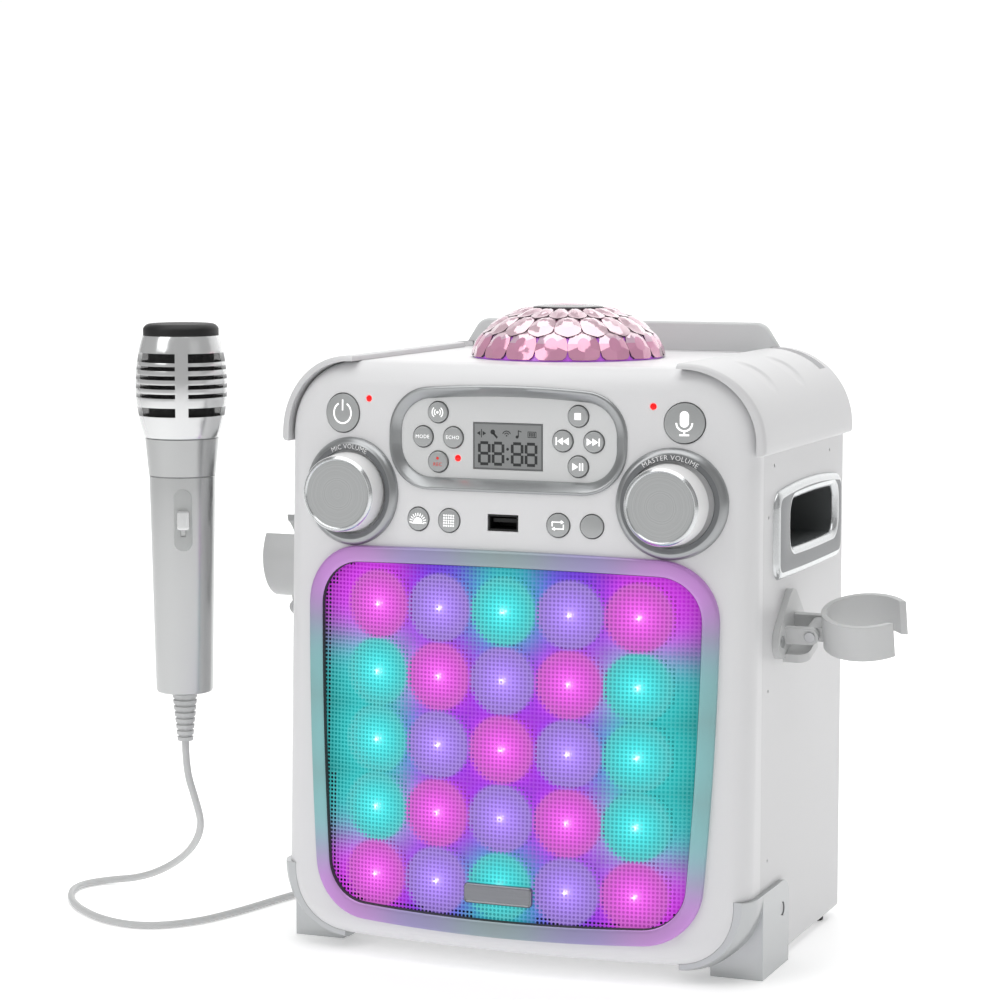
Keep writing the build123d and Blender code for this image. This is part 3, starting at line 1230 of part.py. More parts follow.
def head_section(inset):
    """Half section of the head between its collar and its cap, moved inwards."""
    with BuildSketch(MIC_SECTION) as section:
        with BuildLine():
            ThreePointArc(
                (MIC_COLLAR_RADIUS + 0.2 - inset, MIC_HEAD_BOTTOM),
                (MIC_HEAD_RADIUS - inset, HEAD_MIDDLE),
                (MIC_CAP_RADIUS + 0.2 - inset, MIC_CAP_BOTTOM))
            Polyline(
                (MIC_CAP_RADIUS + 0.2 - inset, MIC_CAP_BOTTOM),
                (0, MIC_CAP_BOTTOM),
                (0, MIC_HEAD_BOTTOM),
                (MIC_COLLAR_RADIUS + 0.2 - inset, MIC_HEAD_BOTTOM))
        make_face()
    return section.sketch


with BuildPart() as mic_head_cage:
    revolve(head_section(0), axis=MIC_AXIS)
    revolve(head_section(MIC_WALL), axis=MIC_AXIS, mode=Mode.SUBTRACT)
    for shares, height in (
        (MIC_SLOT_SHARES, MIC_SLOT_SHARE * MIC_HEAD_LENGTH),
        (MIC_WIDE_SLOT_SHARES, MIC_WIDE_SLOT_SHARE * MIC_HEAD_LENGTH),
    ):
        for share in shares:
            level = MIC_HEAD_BOTTOM + share * MIC_HEAD_LENGTH
            with BuildSketch(Plane.XY.offset(level - height / 2)):
                with Locations(Location((MIC_X, MIC_Y, 0), (0, 0, MIC_TURN))):
                    Circle(1.2 * MIC_HEAD_RADIUS)
                    Rectangle(3 * MIC_HEAD_RADIUS, MIC_RIB, mode=Mode.SUBTRACT)
                    Rectangle(MIC_RIB, 3 * MIC_HEAD_RADIUS, mode=Mode.SUBTRACT)
            extrude(amount=height, mode=Mode.SUBTRACT)
keep(mic_head_cage.part, "mic_head_cage")

with BuildPart() as mic_screen:
    with BuildSketch(Plane.XY.offset(MIC_HEAD_BOTTOM)):
        with Locations((MIC_X, MIC_Y)):
            Circle(SCREEN_RADIUS)
            Circle(SCREEN_RADIUS - 1.0, mode=Mode.SUBTRACT)
    extrude(amount=MIC_CAP_BOTTOM - MIC_HEAD_BOTTOM)
keep(mic_screen.part, "mic_screen")

with BuildPart() as mic_cap:
    with BuildSketch(MIC_SECTION):
        with BuildLine():
            Polyline((0, MIC_TOP), (0, MIC_CAP_BOTTOM), (MIC_CAP_RADIUS, MIC_CAP_BOTTOM))
            Line((MIC_CAP_RADIUS, MIC_CAP_BOTTOM), (MIC_CAP_RADIUS, MIC_TOP - 3.0))
            ThreePointArc(
                (MIC_CAP_RADIUS, MIC_TOP - 3.0), (MIC_CAP_RADIUS - 1.2, MIC_TOP - 1.4),
                (MIC_CAP_RADIUS - 4.0, MIC_TOP - 0.7))
            Line((MIC_CAP_RADIUS - 4.0, MIC_TOP - 0.7), (0, MIC_TOP))
        make_face()
    revolve(axis=MIC_AXIS)
keep(mic_cap.part, "mic_cap")

RELIEF_TOP_RADIUS = 6.0
RELIEF_TIP_RADIUS = 3.6
RELIEF_RIBS = 8
RELIEF_GROOVE = 0.7
relief_pitch = (MIC_BOTTOM - MIC_RELIEF_BOTTOM) / RELIEF_RIBS


def relief_radius(z):
    """Outer radius of the strain relief at a height."""
    share = (z - MIC_RELIEF_BOTTOM) / (MIC_BOTTOM - MIC_RELIEF_BOTTOM)
    return RELIEF_TIP_RADIUS + share * (RELIEF_TOP_RADIUS - RELIEF_TIP_RADIUS)


relief_points = [(0, MIC_RELIEF_BOTTOM)]
for rib in range(RELIEF_RIBS):
    rib_low = MIC_RELIEF_BOTTOM + rib * relief_pitch
    rib_high = rib_low + 0.62 * relief_pitch
    next_low = rib_low + relief_pitch
    relief_points.append((relief_radius(rib_low), rib_low))
    relief_points.append((relief_radius(rib_high), rib_high))
    relief_points.append((relief_radius(rib_high) - RELIEF_GROOVE, rib_high))
    relief_points.append((relief_radius(next_low) - RELIEF_GROOVE, next_low))
relief_points.append((0, MIC_BOTTOM))
with BuildPart() as mic_strain_relief:
    with BuildSketch(MIC_SECTION):
        with BuildLine():
            Polyline(*relief_points, close=True)
        make_face()
    revolve(axis=MIC_AXIS)
keep(mic_strain_relief.part, "mic_strain_relief")

# ---------------------------------------------------------------- cord
CORD_RADIUS = CORD_DIAMETER / 2
FLOOR_Z = CORD_RADIUS + 0.1
CORD_ARC = 0.45              # share of the shorter run that a corner's arc may take
PLUG_PLACE = MIC_JACKS[0]
PLUG_BODY_RADIUS = 5.4
PLUG_BODY_LENGTH = 24.0
PLUG_RELIEF_LENGTH = 11.0
PLUG_FACE_Y = REAR_Y + JACK_PLATE_PROUD
PLUG_TAIL_Y = PLUG_FACE_Y + PLUG_BODY_LENGTH + PLUG_RELIEF_LENGTH
COIL_RIGHT_X = COIL_X + COIL_TURN_RADIUS
COIL_FRONT_Y = COIL_Y - COIL_TURN_RADIUS

FIRST_ROUTE = [
    (MIC_X, MIC_Y, MIC_RELIEF_BOTTOM),
    (MIC_X, MIC_Y, 77.0),
    (-164.0, -54.0, 61.0),
    (-169.0, -38.0, 45.0),
    (-184.0, -20.0, 29.0),
    (-205.0, -3.0, 15.0),
    (-228.0, 9.0, 4.5),
    (-247.0, 8.0, FLOOR_Z),
    (-256.0, -8.0, FLOOR_Z),
    (-248.0, -29.0, FLOOR_Z),
    (-232.0, -49.0, FLOOR_Z),
    (-208.0, -66.0, FLOOR_Z),
    (-184.0, -70.0, FLOOR_Z),
    (-166.0, -54.0, FLOOR_Z),
    (-156.0, -27.0, FLOOR_Z),
    (-149.0, 4.0, FLOOR_Z),
    (-139.0, 38.0, FLOOR_Z),
    (-131.0, 71.0, FLOOR_Z),
    (-114.0, 94.0, FLOOR_Z),
    (-88.0, COIL_FRONT_Y - 0.6, FLOOR_Z),
    (COIL_X, COIL_FRONT_Y, FLOOR_Z + 1.0),
]
LAST_ROUTE = [
    (COIL_RIGHT_X, COIL_Y, COIL_BUNDLE - 4.0),
    (COIL_RIGHT_X + 0.4, COIL_Y + 15.0, COIL_BUNDLE - 2.0),
    (COIL_RIGHT_X - 1.0, COIL_Y + 30.0, COIL_BUNDLE + 5.0),
    (COIL_RIGHT_X - 5.0, COIL_Y + 39.0, COIL_BUNDLE + 18.0),
    (COIL_RIGHT_X - 10.0, COIL_Y + 35.0, COIL_BUNDLE + 32.0),
    (PLUG_PLACE[0], COIL_Y + 18.0, PLUG_PLACE[1]),
    (PLUG_PLACE[0], PLUG_TAIL_Y, PLUG_PLACE[1]),
]


def corner_radii(route):
    """Radius of the arc at each inner point of a route."""
    radii = []
    for before, corner, after in zip(route, route[1:], route[2:]):
        arriving = Vector(*corner) - Vector(*before)
        leaving = Vector(*after) - Vector(*corner)
        turn = radians(arriving.get_angle(leaving))
        radii.append(CORD_ARC * min(arriving.length, leaving.length) / tan(turn / 2))
    return radii


def cord_tube(route):
    """Round tube along the straight runs and tangent arcs of a route."""
    with BuildPart() as tube:
        with BuildLine() as path:
            FilletPolyline(*route, radius=corner_radii(route))
        wire = path.wires()[0]
        with BuildSketch(Plane(origin=wire @ 0, z_dir=wire % 0)):
            Circle(CORD_RADIUS)
        sweep(path=wire)
    print("cord radii:", [round(radius, 1) for radius in corner_radii(route)])
    section = pi * CORD_RADIUS**2
    print("cord length:", round(wire.length, 1), "volume / (section x length):",
          round(tube.part.volume / (section * wire.length), 4))
    return tube.part


first_tube = cord_tube(FIRST_ROUTE)
last_tube = cord_tube(LAST_ROUTE)

with BuildPart() as coil:
    with BuildSketch(Plane.XZ.offset(-COIL_Y)):
        with Locations((COIL_X + COIL_TURN_RADIUS, COIL_BUNDLE / 2)):
            RectangleRounded(COIL_BUNDLE, COIL_BUNDLE, COIL_BUNDLE / 2 - 2.0)
    revolve(axis=Axis((COIL_X, COIL_Y, 0), (0, 0, 1)))

with BuildPart() as mic_cord:
    add(first_tube)
    add(last_tube)
    add(coil.part, mode=Mode.SUBTRACT)
keep(mic_cord.part, "mic_cord")
keep(coil.part, "mic_cord_coil")

PLUG_GROOVE = 0.4
with BuildPart() as mic_plug:
    with BuildSketch(Plane(
            origin=(PLUG_PLACE[0], PLUG_FACE_Y, PLUG_PLACE[1]), x_dir=(1, 0, 0), z_dir=(0, 0, 1))):
        with BuildLine():
            Polyline(
                (0, FIT - JACK_DEPTH),
                (PLUG_PIN_RADIUS - 1.4, FIT - JACK_DEPTH),
                (PLUG_PIN_RADIUS, 2.0 - JACK_DEPTH),
                (PLUG_PIN_RADIUS, 6.0 - JACK_DEPTH),
                (PLUG_PIN_RADIUS - PLUG_GROOVE, 6.4 - JACK_DEPTH),
                (PLUG_PIN_RADIUS, 6.8 - JACK_DEPTH),
                (PLUG_PIN_RADIUS, 0),
                (PLUG_BODY_RADIUS, 0),
                (PLUG_BODY_RADIUS, PLUG_BODY_LENGTH - 2.0),
                (PLUG_BODY_RADIUS - 1.2, PLUG_BODY_LENGTH),
                (CORD_RADIUS + 1.6, PLUG_BODY_LENGTH),
                (CORD_RADIUS + 0.7, PLUG_BODY_LENGTH + PLUG_RELIEF_LENGTH),
                (0, PLUG_BODY_LENGTH + PLUG_RELIEF_LENGTH),
                close=True,
            )
        make_face()
    revolve(axis=Axis((PLUG_PLACE[0], 0, PLUG_PLACE[1]), (0, 1, 0)))
keep(mic_plug.part, "mic_plug")

# ---------------------------------------------------------------- export
CORD_NAMES = ("mic_cord", "mic_cord_coil", "mic_plug")
own_box = Compound([piece for piece in pieces if piece.label not in CORD_NAMES]).bounding_box()
shift = Vector(-own_box.center().X, -own_box.center().Y, -own_box.min.Z)
print(f"moved by: {shift.X:.5f} {shift.Y:.5f} {shift.Z:.5f}")
for piece in pieces:
    placed = piece.moved(Location(shift))
    placed.label = piece.label
    export_step(placed, f"parts/{piece.label}.step")
print("pieces:", len(pieces))
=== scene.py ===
"""Looks of a portable karaoke machine: finishes, lit grille, printed controls, dome, microphone, cord.

Sizes are millimetres in the machine's own frame: x = 0 on its plane of symmetry, the front faces -Y,
the floor is z = 0.  Workshop turns them into metres in the row frame.
"""
import json
import logging
from collections.abc import Callable, Iterable, Sequence
from dataclasses import dataclass, field, replace
from enum import Enum
from math import atan2, ceil, cos, hypot, pi, radians, sin, sqrt

import bmesh
import bpy
import numpy as np
from mathutils import Matrix, Vector

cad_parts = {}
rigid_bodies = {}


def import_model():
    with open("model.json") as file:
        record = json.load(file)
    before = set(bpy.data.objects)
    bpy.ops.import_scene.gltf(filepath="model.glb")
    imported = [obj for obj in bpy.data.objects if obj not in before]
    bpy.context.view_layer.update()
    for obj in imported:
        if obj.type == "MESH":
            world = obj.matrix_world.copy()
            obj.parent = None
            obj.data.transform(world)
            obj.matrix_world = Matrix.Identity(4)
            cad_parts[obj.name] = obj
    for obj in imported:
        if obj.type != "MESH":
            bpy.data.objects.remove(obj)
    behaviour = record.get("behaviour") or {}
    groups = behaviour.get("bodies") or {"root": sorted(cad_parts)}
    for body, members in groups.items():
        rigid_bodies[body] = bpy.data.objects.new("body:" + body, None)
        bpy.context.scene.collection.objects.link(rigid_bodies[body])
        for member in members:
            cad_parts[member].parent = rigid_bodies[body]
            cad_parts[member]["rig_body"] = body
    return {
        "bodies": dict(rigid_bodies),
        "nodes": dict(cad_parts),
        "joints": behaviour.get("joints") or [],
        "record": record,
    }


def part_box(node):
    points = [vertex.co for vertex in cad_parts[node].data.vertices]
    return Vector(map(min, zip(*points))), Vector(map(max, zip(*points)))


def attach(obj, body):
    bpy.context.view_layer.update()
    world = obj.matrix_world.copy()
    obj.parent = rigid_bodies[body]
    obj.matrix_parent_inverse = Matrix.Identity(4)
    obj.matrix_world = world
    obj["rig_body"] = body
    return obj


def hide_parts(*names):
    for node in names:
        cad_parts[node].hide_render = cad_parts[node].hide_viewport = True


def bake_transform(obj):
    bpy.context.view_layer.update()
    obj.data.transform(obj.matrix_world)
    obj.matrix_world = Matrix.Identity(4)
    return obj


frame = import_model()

log = logging.getLogger("karaoke")
Point = tuple[float, float, float]
Flat = tuple[float, float]

# ---------------- the machine's driving sizes
REAR_Y = 86.0
HALF_WIDTH = 112.0
BOW_RADIUS = 471.0
BOW_APEX_Y = -76.0
BOW_APEX_Z = 100.0
BOW_LEAN = 0.036
BOW_STRETCH = sqrt(1 + BOW_LEAN ** 2)
PANEL_FACE_Y = -66.6
MIC_X, MIC_Y = -166.0, -60.0
MM = 0.001
WHITE = (1.0, 1.0, 1.0, 1.0)


def linear(hex_colour: str) -> tuple[float, float, float, float]:
    """Turn an sRGB hex value into linear light.

    Args:
        hex_colour: six hex digits after a hash sign.

    Returns:
        Red, green, blue and an alpha of 1.
    """
    parts = [int(hex_colour[i:i + 2], 16) / 255 for i in (1, 3, 5)]
    return (*(c / 12.92 if c <= 0.04045 else ((c + 0.055) / 1.055) ** 2.4 for c in parts), 1.0)


def add_node(tree: bpy.types.NodeTree, kind: str, inputs: dict | None = None, **settings) -> bpy.types.Node:
    """Add one node to a tree.

    Args:
        tree: the shader or geometry tree.
        kind: Blender's name of the node type.
        inputs: value or output socket for each input, by name or number.
        **settings: attributes of the node itself.

    Returns:
        The new node.
    """
    made = tree.nodes.new(kind)
    for key, value in settings.items():
        setattr(made, key, value)
    for key, value in (inputs or {}).items():
        if isinstance(value, bpy.types.NodeSocket):
            tree.links.new(value, made.inputs[key])
        else:
            made.inputs[key].default_value = value
    return made


def material_of(name: str, skin: Callable[[bpy.types.NodeTree], bpy.types.Node]) -> bpy.types.Material:
    """Find the material of this name, or make it when no piece has it yet.

    Args:
        name: of the material.
        skin: adds the shader to the material's tree.

    Returns:
        The material, whose glow isn't sampled as a lamp.
    """
    made = bpy.data.materials.get(name)
    if made is None:
        made = bpy.data.materials.new(name)
        made.use_nodes = True
        tree = made.node_tree
        tree.nodes.clear()
        add_node(tree, "ShaderNodeOutputMaterial", {"Surface": skin(tree).outputs["BSDF"]})
        made.cycles.emission_sampling = "NONE"
    return made


def stand(name: str, data: bpy.types.ID) -> bpy.types.Object:
    """Put a mesh, curve, camera or light into the scene as an object.

    Args:
        name: of the object.
        data: what it shows.

    Returns:
        The object.
    """
    made = bpy.data.objects.new(name, data)
    bpy.context.scene.collection.objects.link(made)
    return made


def worked_out(made: bpy.types.Object) -> bpy.types.Mesh:
    """Mesh that an object comes to once its type or its modifiers are worked out."""
    bpy.context.view_layer.update()
    return bpy.data.meshes.new_from_object(made.evaluated_get(bpy.context.evaluated_depsgraph_get()))


# ---------------- finishes
class Pattern(Enum):
    """How the tool or the maker left a surface."""

    SPARKED = "fine grain of a spark-eroded mould"
    SPUN = "rings left by a facing tool"
    BRUSHED = "straight scratches along X"
    PLAIN = "smooth"


@dataclass(frozen=True)
class Finish:
    """One surface: what it is made of and how it was left.

    Attributes:
        name: the material's name.
        colour: sRGB hex of the body colour.
        roughness: of the gloss, 0 to 1.
        metallic: share of metal flake or metal.
        pattern: the tool marks.
        grain_mm: size of the marks.
        depth_mm: height of the marks.
        shade: how far the marks darken the colour.
        coat: clear lacquer over it.
        edge_mm: radius that broken edges seem to have.
        glow: strength of the light it gives.
        clear: share of light that passes through.
        sheen: dusty softness of rubber and matt plastic.
        veil: share of the surface that covers; the rest is seen through.
        centre: where rings are struck from, in row metres.
    """

    name: str
    colour: str
    roughness: float = 0.4
    metallic: float = 0.0
    pattern: Pattern = Pattern.SPARKED
    grain_mm: float = 0.6
    depth_mm: float = 0.012
    shade: float = 0.04
    coat: float = 0.0
    edge_mm: float = 0.35
    glow: float = 0.0
    clear: float = 0.0
    sheen: float = 0.0
    veil: float = 1.0
    centre: Point = (0.0, 0.0, 0.0)

    def material(self) -> bpy.types.Material:
        """Build the material, or find it when another piece already has it.

        Returns:
            The material.
        """
        made = material_of(self.name, self._skin)
        made.diffuse_color = linear(self.colour)
        return made

    def _skin(self, tree: bpy.types.NodeTree) -> bpy.types.Node:
        """Add the shader to the material's tree.

        Args:
            tree: the material's tree.

        Returns:
            The shader.
        """
        marks = self._marks(tree) if self.shade or self.depth_mm else None
        own = linear(self.colour)
        colour, rough, normal = own, self.roughness, None
        if self.shade:
            dark = (*(c * (1 - self.shade) for c in own[:3]), 1.0)
            colour = add_node(tree, "ShaderNodeMix", {0: marks, 6: own, 7: dark}, data_type="RGBA").outputs[2]
            rough = add_node(tree, "ShaderNodeMapRange", {
                "Value": marks, "To Min": max(self.roughness - 0.03, 0.02),
                "To Max": min(self.roughness + 0.05, 1.0)}).outputs["Result"]
        if self.edge_mm:
            normal = add_node(tree, "ShaderNodeBevel", {"Radius": self.edge_mm * MM}, samples=6).outputs[0]
        if self.depth_mm:
            below = {"Normal": normal} if normal else {}
            normal = add_node(tree, "ShaderNodeBump", {
                "Distance": self.depth_mm * MM, "Height": marks, **below}).outputs["Normal"]
        return add_node(tree, "ShaderNodeBsdfPrincipled", {
            "Base Color": colour, "Roughness": rough, "Metallic": self.metallic, "Coat Weight": self.coat,
            "Coat Roughness": 0.12, "Transmission Weight": self.clear, "Sheen Weight": self.sheen,
            "Alpha": self.veil, "Emission Color": own, "Emission Strength": self.glow,
            **({"Normal": normal} if normal else {})})

    def _marks(self, tree: bpy.types.NodeTree) -> bpy.types.NodeSocket:
        """Pattern of tool marks between 0 and 1.

        Args:
            tree: the material's tree.

        Returns:
            The socket that carries the pattern.
        """
        place = add_node(tree, "ShaderNodeTexCoord").outputs["Object"]
        scale = 1 / (self.grain_mm * MM)
        if self.pattern is Pattern.SPUN:
            return self._rings(tree, place, scale)
        if self.pattern is Pattern.BRUSHED:
            place = add_node(tree, "ShaderNodeMapping", {"Vector": place, "Scale": (0.04, 1.0, 1.0)}).outputs[0]
        detail = 0.0 if self.pattern is Pattern.PLAIN else 3.0
        return add_node(tree, "ShaderNodeTexNoise", {
            "Vector": place, "Scale": scale, "Detail": detail, "Roughness": 0.6}).outputs[0]

    def _rings(self, tree: bpy.types.NodeTree, place: bpy.types.NodeSocket, scale: float,
               along: float = 260.0, waver: float = 2.4) -> bpy.types.NodeSocket:
        """Rings round the centre, which waver and break as a spun face's do.

        Args:
            tree: the material's tree.
            place: socket of the place on the object.
            scale: rings in a metre.
            along: how often the waver changes along a ring.
            waver: how far a ring wavers, in rings.

        Returns:
            The socket that carries the rings.
        """
        centred = add_node(tree, "ShaderNodeVectorMath", {0: place, 1: self.centre}, operation="SUBTRACT").outputs[0]
        across = add_node(tree, "ShaderNodeVectorMath", {
            0: centred, 1: (1.0, 0.0, 1.0)}, operation="MULTIPLY").outputs[0]
        radius = add_node(tree, "ShaderNodeVectorMath", {0: across}, operation="LENGTH").outputs["Value"]
        rings = add_node(tree, "ShaderNodeMath", {0: radius, 1: scale}, operation="MULTIPLY").outputs[0]
        broken = add_node(tree, "ShaderNodeVectorMath", {0: across, "Scale": along}, operation="SCALE").outputs[0]
        wander = add_node(tree, "ShaderNodeTexNoise", {"Vector": broken, "Scale": 1.0, "Detail": 2.0})
        row = add_node(tree, "ShaderNodeMath", {
            0: wander.outputs[0], 1: waver, 2: rings}, operation="MULTIPLY_ADD").outputs[0]
        return add_node(tree, "ShaderNodeTexNoise", {
            "W": row, "Scale": 1.0, "Detail": 2.0}, noise_dimensions="1D").outputs[0]


@dataclass(frozen=True)
class LitFinish:
    """Surface whose colour and light are stored on its points as the attribute "light".

    Attributes:
        name: the material's name.
        glow: strength of the light it gives.
        share: how far the stored light is painted into the body colour.
        base: body colour as sRGB hex.
        roughness: of the gloss.
        metallic: share of metal flake.
    """

    name: str
    glow: float
    share: float
    base: str = "#202024"
    roughness: float = 0.45
    metallic: float = 0.0

    def material(self) -> bpy.types.Material:
        """Build the material, or find it when another piece already has it.

        Returns:
            The material.
        """
        return material_of(self.name, self._skin)

    def _skin(self, tree: bpy.types.NodeTree) -> bpy.types.Node:
        """Add the shader to the material's tree.

        Args:
            tree: the material's tree.

        Returns:
            The shader.
        """
        light = add_node(tree, "ShaderNodeAttribute", attribute_name="light").outputs["Color"]
        # The stored light is painted into the body colour, and also given off as glow.
        painted_light = add_node(tree, "ShaderNodeMix", {0: self.share, 6: linear(self.base), 7: light}, data_type="RGBA")
        return add_node(tree, "ShaderNodeBsdfPrincipled", {
            "Base Color": painted_light.outputs[2], "Roughness": self.roughness, "Metallic": self.metallic,
            "Emission Color": light, "Emission Strength": self.glow})


def lacquer(name: str, colour: str, roughness: float, metallic: float, edge_mm: float = 0.0) -> Finish:
    """Sprayed or polished skin, too smooth for a grain to be seen."""
    return Finish(name, colour, roughness, metallic, Pattern.PLAIN, depth_mm=0.0, shade=0.0, edge_mm=edge_mm)


def printed(name: str, colour: str, roughness: float, glow: float = 0.0) -> Finish:
    """Ink laid on a face, with hardly an edge."""
    return Finish(name, colour, roughness, pattern=Pattern.PLAIN, edge_mm=0.05, glow=glow)


# A mould's grain is about 0.1 mm and a spun ring finer still: each is drawn at 0.3 to 0.8 mm, so that it shows.
# Moulded ABS, cool white: soft satin skin with the faint grain of its mould.
CABINET_WHITE = Finish("white_abs_moulded", "#E6E6E7", 0.36, grain_mm=0.5, shade=0.02, edge_mm=0.5)
# The same ABS on the rear shell, a touch greyer: painted shade, so the big side stays darker than the front.
SHELL_WHITE_PAINTED_SHADE = replace(CABINET_WHITE, name="white_abs_shell", colour="#D9D9DA")
# The same ABS on the deck, a touch paler: painted light from above, which leaves it almost clean white.
DECK_WHITE_PAINTED_LIGHT = replace(CABINET_WHITE, name="white_abs_deck", colour="#F0F0F1")
# The same ABS on the shoulders, a touch greyer as painted shade against the light from above; their modelled round
# edges shade softly by themselves.
SHOULDER_WHITE_PAINTED_SHADE = replace(CABINET_WHITE, name="white_abs_moulded_soft_edge", colour="#DCDCDD", edge_mm=0.0)
# The step inside the grille frame, painted dark: a painted shadow line.
STEP_PAINTED_SHADOW = Finish("shadow_gap_abs", "#3A3B3D", 0.8, edge_mm=0.1)
# ABS with silver lacquer: so much metal flake that it shades like satin metal.
SILVER_LACQUER = lacquer("silver_lacquered_abs", "#A6A8A9", 0.3, 0.85)
# The same lacquer, paler, on the bevels of the handle trims: a painted highlight where they catch more light.
BEVEL_LACQUER_PAINTED_HIGHLIGHT = lacquer("silver_lacquered_abs_bright", "#D6D8D9", 0.24, 0.85)
# The same lacquer on the feet, whose broken edges catch a thin light.
FOOT_LACQUER = lacquer("silver_lacquered_abs_satin", "#BCBEBF", 0.3, 0.85, 0.4)
# Grey lacquer of the handle and knob bands, darker and flatter than the bevels beside them.
BAND_LACQUER = lacquer("grey_lacquered_abs", "#7C7E80", 0.36, 0.5)
# Turned aluminium rim of the volume knobs, bright where the tool passed.
TURNED_RIM = lacquer("turned_aluminium", "#D8DADB", 0.22, 1.0)
# Pale satin lacquer of the knobs' grips.
KNOB_SIDE = lacquer("pale_satin_lacquer", "#EFEFEF", 0.36, 0.0)
# Spun aluminium of the knobs' faces: fine rings that fan the light out.
SPUN_FACE = Finish("spun_aluminium", "#C2C4C4", 0.42, 0.4, Pattern.SPUN, grain_mm=0.5, shade=0.3)
# Paler silver lacquer with coarse flake on the control panel.
PANEL_LACQUER = Finish("pale_silver_lacquered_abs", "#E0E1E1", 0.42, 0.2, grain_mm=0.4, shade=0.03)
# Grey silver lacquer of the push buttons, under a thin clear coat.
BUTTON_LACQUER = Finish("grey_silver_lacquered_abs", "#B3B5B5", 0.36, 0.35, grain_mm=0.4, shade=0.03, coat=0.3)
# Screen-printed white ink, slightly raised, with light enough of its own to stay white in shade.
WHITE_INK = printed("white_screen_ink", "#FFFFFF", 0.5, 0.5)
# Pale ink of the words on the knob bands, matt, with a faint painted glow.
PALE_INK = printed("pale_screen_ink", "#F4F4F4", 0.5, 0.1)
# Red ink of the record mark, matt, with a faint painted glow.
RED_INK = printed("red_screen_ink", "#E23A32", 0.5, 0.15)
# Lit red light-emitting diode in clear resin: a hard small gloss over a glow.
RED_LAMP = Finish("red_diode_resin", "#FF0A0A", 0.25, pattern=Pattern.PLAIN, edge_mm=0.2, glow=1.6)
# Reflective liquid-crystal film behind acrylic: flat grey with a clear gloss.
LCD_FILM = Finish("lcd_film", "#8F9191", 0.3, pattern=Pattern.PLAIN, edge_mm=0.1, coat=0.5)
# Dark crystal of the display's digits and symbols.
LCD_SEGMENT = printed("lcd_segment", "#2B2D2E", 0.35)
# Grey ink round the display, a soft frame to the film.
LCD_BORDER = printed("lcd_border_ink", "#6E7071", 0.4)
# Black polyamide, almost without gloss.
BLACK_PLASTIC = Finish("black_polyamide", "#0C0C0D", 0.5, grain_mm=0.3)
# Zinc-plated steel of screws and pins: bright, faintly cloudy.
STEEL = Finish("zinc_plated_steel", "#B9BABB", 0.3, 1.0, Pattern.PLAIN, 3.0, depth_mm=0.0, shade=0.05)
# Pale grey ABS of the tablet rest, with a satin grain.
REST_GREY = Finish("grey_abs_moulded", "#D6D8D8", 0.45, grain_mm=0.6, shade=0.03)
# Light grey ABS of the microphone holders, whose edges are well broken.
HOLDER_GREY = Finish("light_grey_abs_moulded", "#CBCCCC", 0.4, grain_mm=0.6, shade=0.03, edge_mm=0.5)
# Dark grey ABS inside the handle pockets, which keeps them deep and dull.
POCKET_GREY = Finish("dark_grey_abs", "#5B5E5F", 0.5, grain_mm=0.8)
# Black rubber of the rear feet, dusty and without gloss.
RUBBER = Finish("black_rubber", "#1B1B1C", 0.75, sheen=0.2)
# Clear pink polycarbonate: each scale is a shallow lens with a hard gloss and a faint painted glow.
DOME_PINK = Finish("pink_clear_polycarbonate", "#F6B4CA", 0.06, 0.35, Pattern.PLAIN, 6.0, depth_mm=0.2,
                   shade=0.08, coat=1.0, edge_mm=0.0, glow=0.03, clear=0.3)
# The same, paler, on the upper scales: painted light, the wash of the lamp inside.
DOME_PAINTED_LAMP_WASH = replace(DOME_PINK, name="pale_pink_clear_polycarbonate", colour="#FBDCE6")
# Cut edges of the scales, painted dark: painted shade under the proud lower tips.
DOME_EDGE_PAINTED_SHADE = Finish("pink_polycarbonate_cut_edge", "#4E444A", 0.15, 0.3, Pattern.PLAIN, 6.0, depth_mm=0.0,
                   shade=0.02, coat=0.6, edge_mm=0.0)
# Shell between the scales, lit violet from below.
DOME_VIOLET = Finish("violet_lit_polycarbonate", "#B85CD6", 0.2, 0.0, Pattern.PLAIN, 6.0, depth_mm=0.0,
                     shade=0.02, coat=0.6, edge_mm=0.0, glow=0.35)
# Smoky polycarbonate of the dome's cap, dark with a clear gloss.
CAP_GREY = Finish("grey_clear_polycarbonate", "#4C4A4D", 0.25, 0.1, Pattern.PLAIN, coat=0.6, edge_mm=0.0)
# Pale lens in the cap, polished, with one sharp highlight.
LENS_PINK = Finish("pale_clear_polycarbonate", "#D9B9C6", 0.08, 0.1, Pattern.PLAIN, coat=1.0, edge_mm=0.0)
# Pearl lacquer on the microphone's handle: pale, with soft long highlights.
MIC_PEARL = lacquer("pearl_lacquered_abs", "#BFC0C0", 0.26, 0.85)
# Bright lacquer on the microphone's cage and switch: almost chrome.
MIC_BAND = lacquer("bright_lacquered_abs", "#E2E3E3", 0.18, 0.7)
# Grey plate under the switch, satin.
MIC_PLATE = Finish("grey_switch_plate", "#B9BBBA", 0.4, 0.1, grain_mm=0.4)
# Black gauze inside the microphone's head, which lets some light through.
MIC_GAUZE = Finish("black_gauze", "#0A0A0B", 0.7, pattern=Pattern.PLAIN, edge_mm=0.0, veil=0.6)
# Shadow line between the microphone's collar and its handle.
MIC_SEAM = Finish("pearl_seam_shadow", "#8C8E8E", 0.5, pattern=Pattern.PLAIN, edge_mm=0.0)
# Thermoplastic elastomer of the cord: soft grey, matt.
CORD_GREY = Finish("grey_elastomer", "#C9CACA", 0.5, grain_mm=0.8, sheen=0.1)
# The plug's harder elastomer: darker, matt.
PLUG_GREY = Finish("grey_plug_elastomer", "#9FA1A1", 0.55, grain_mm=0.8)
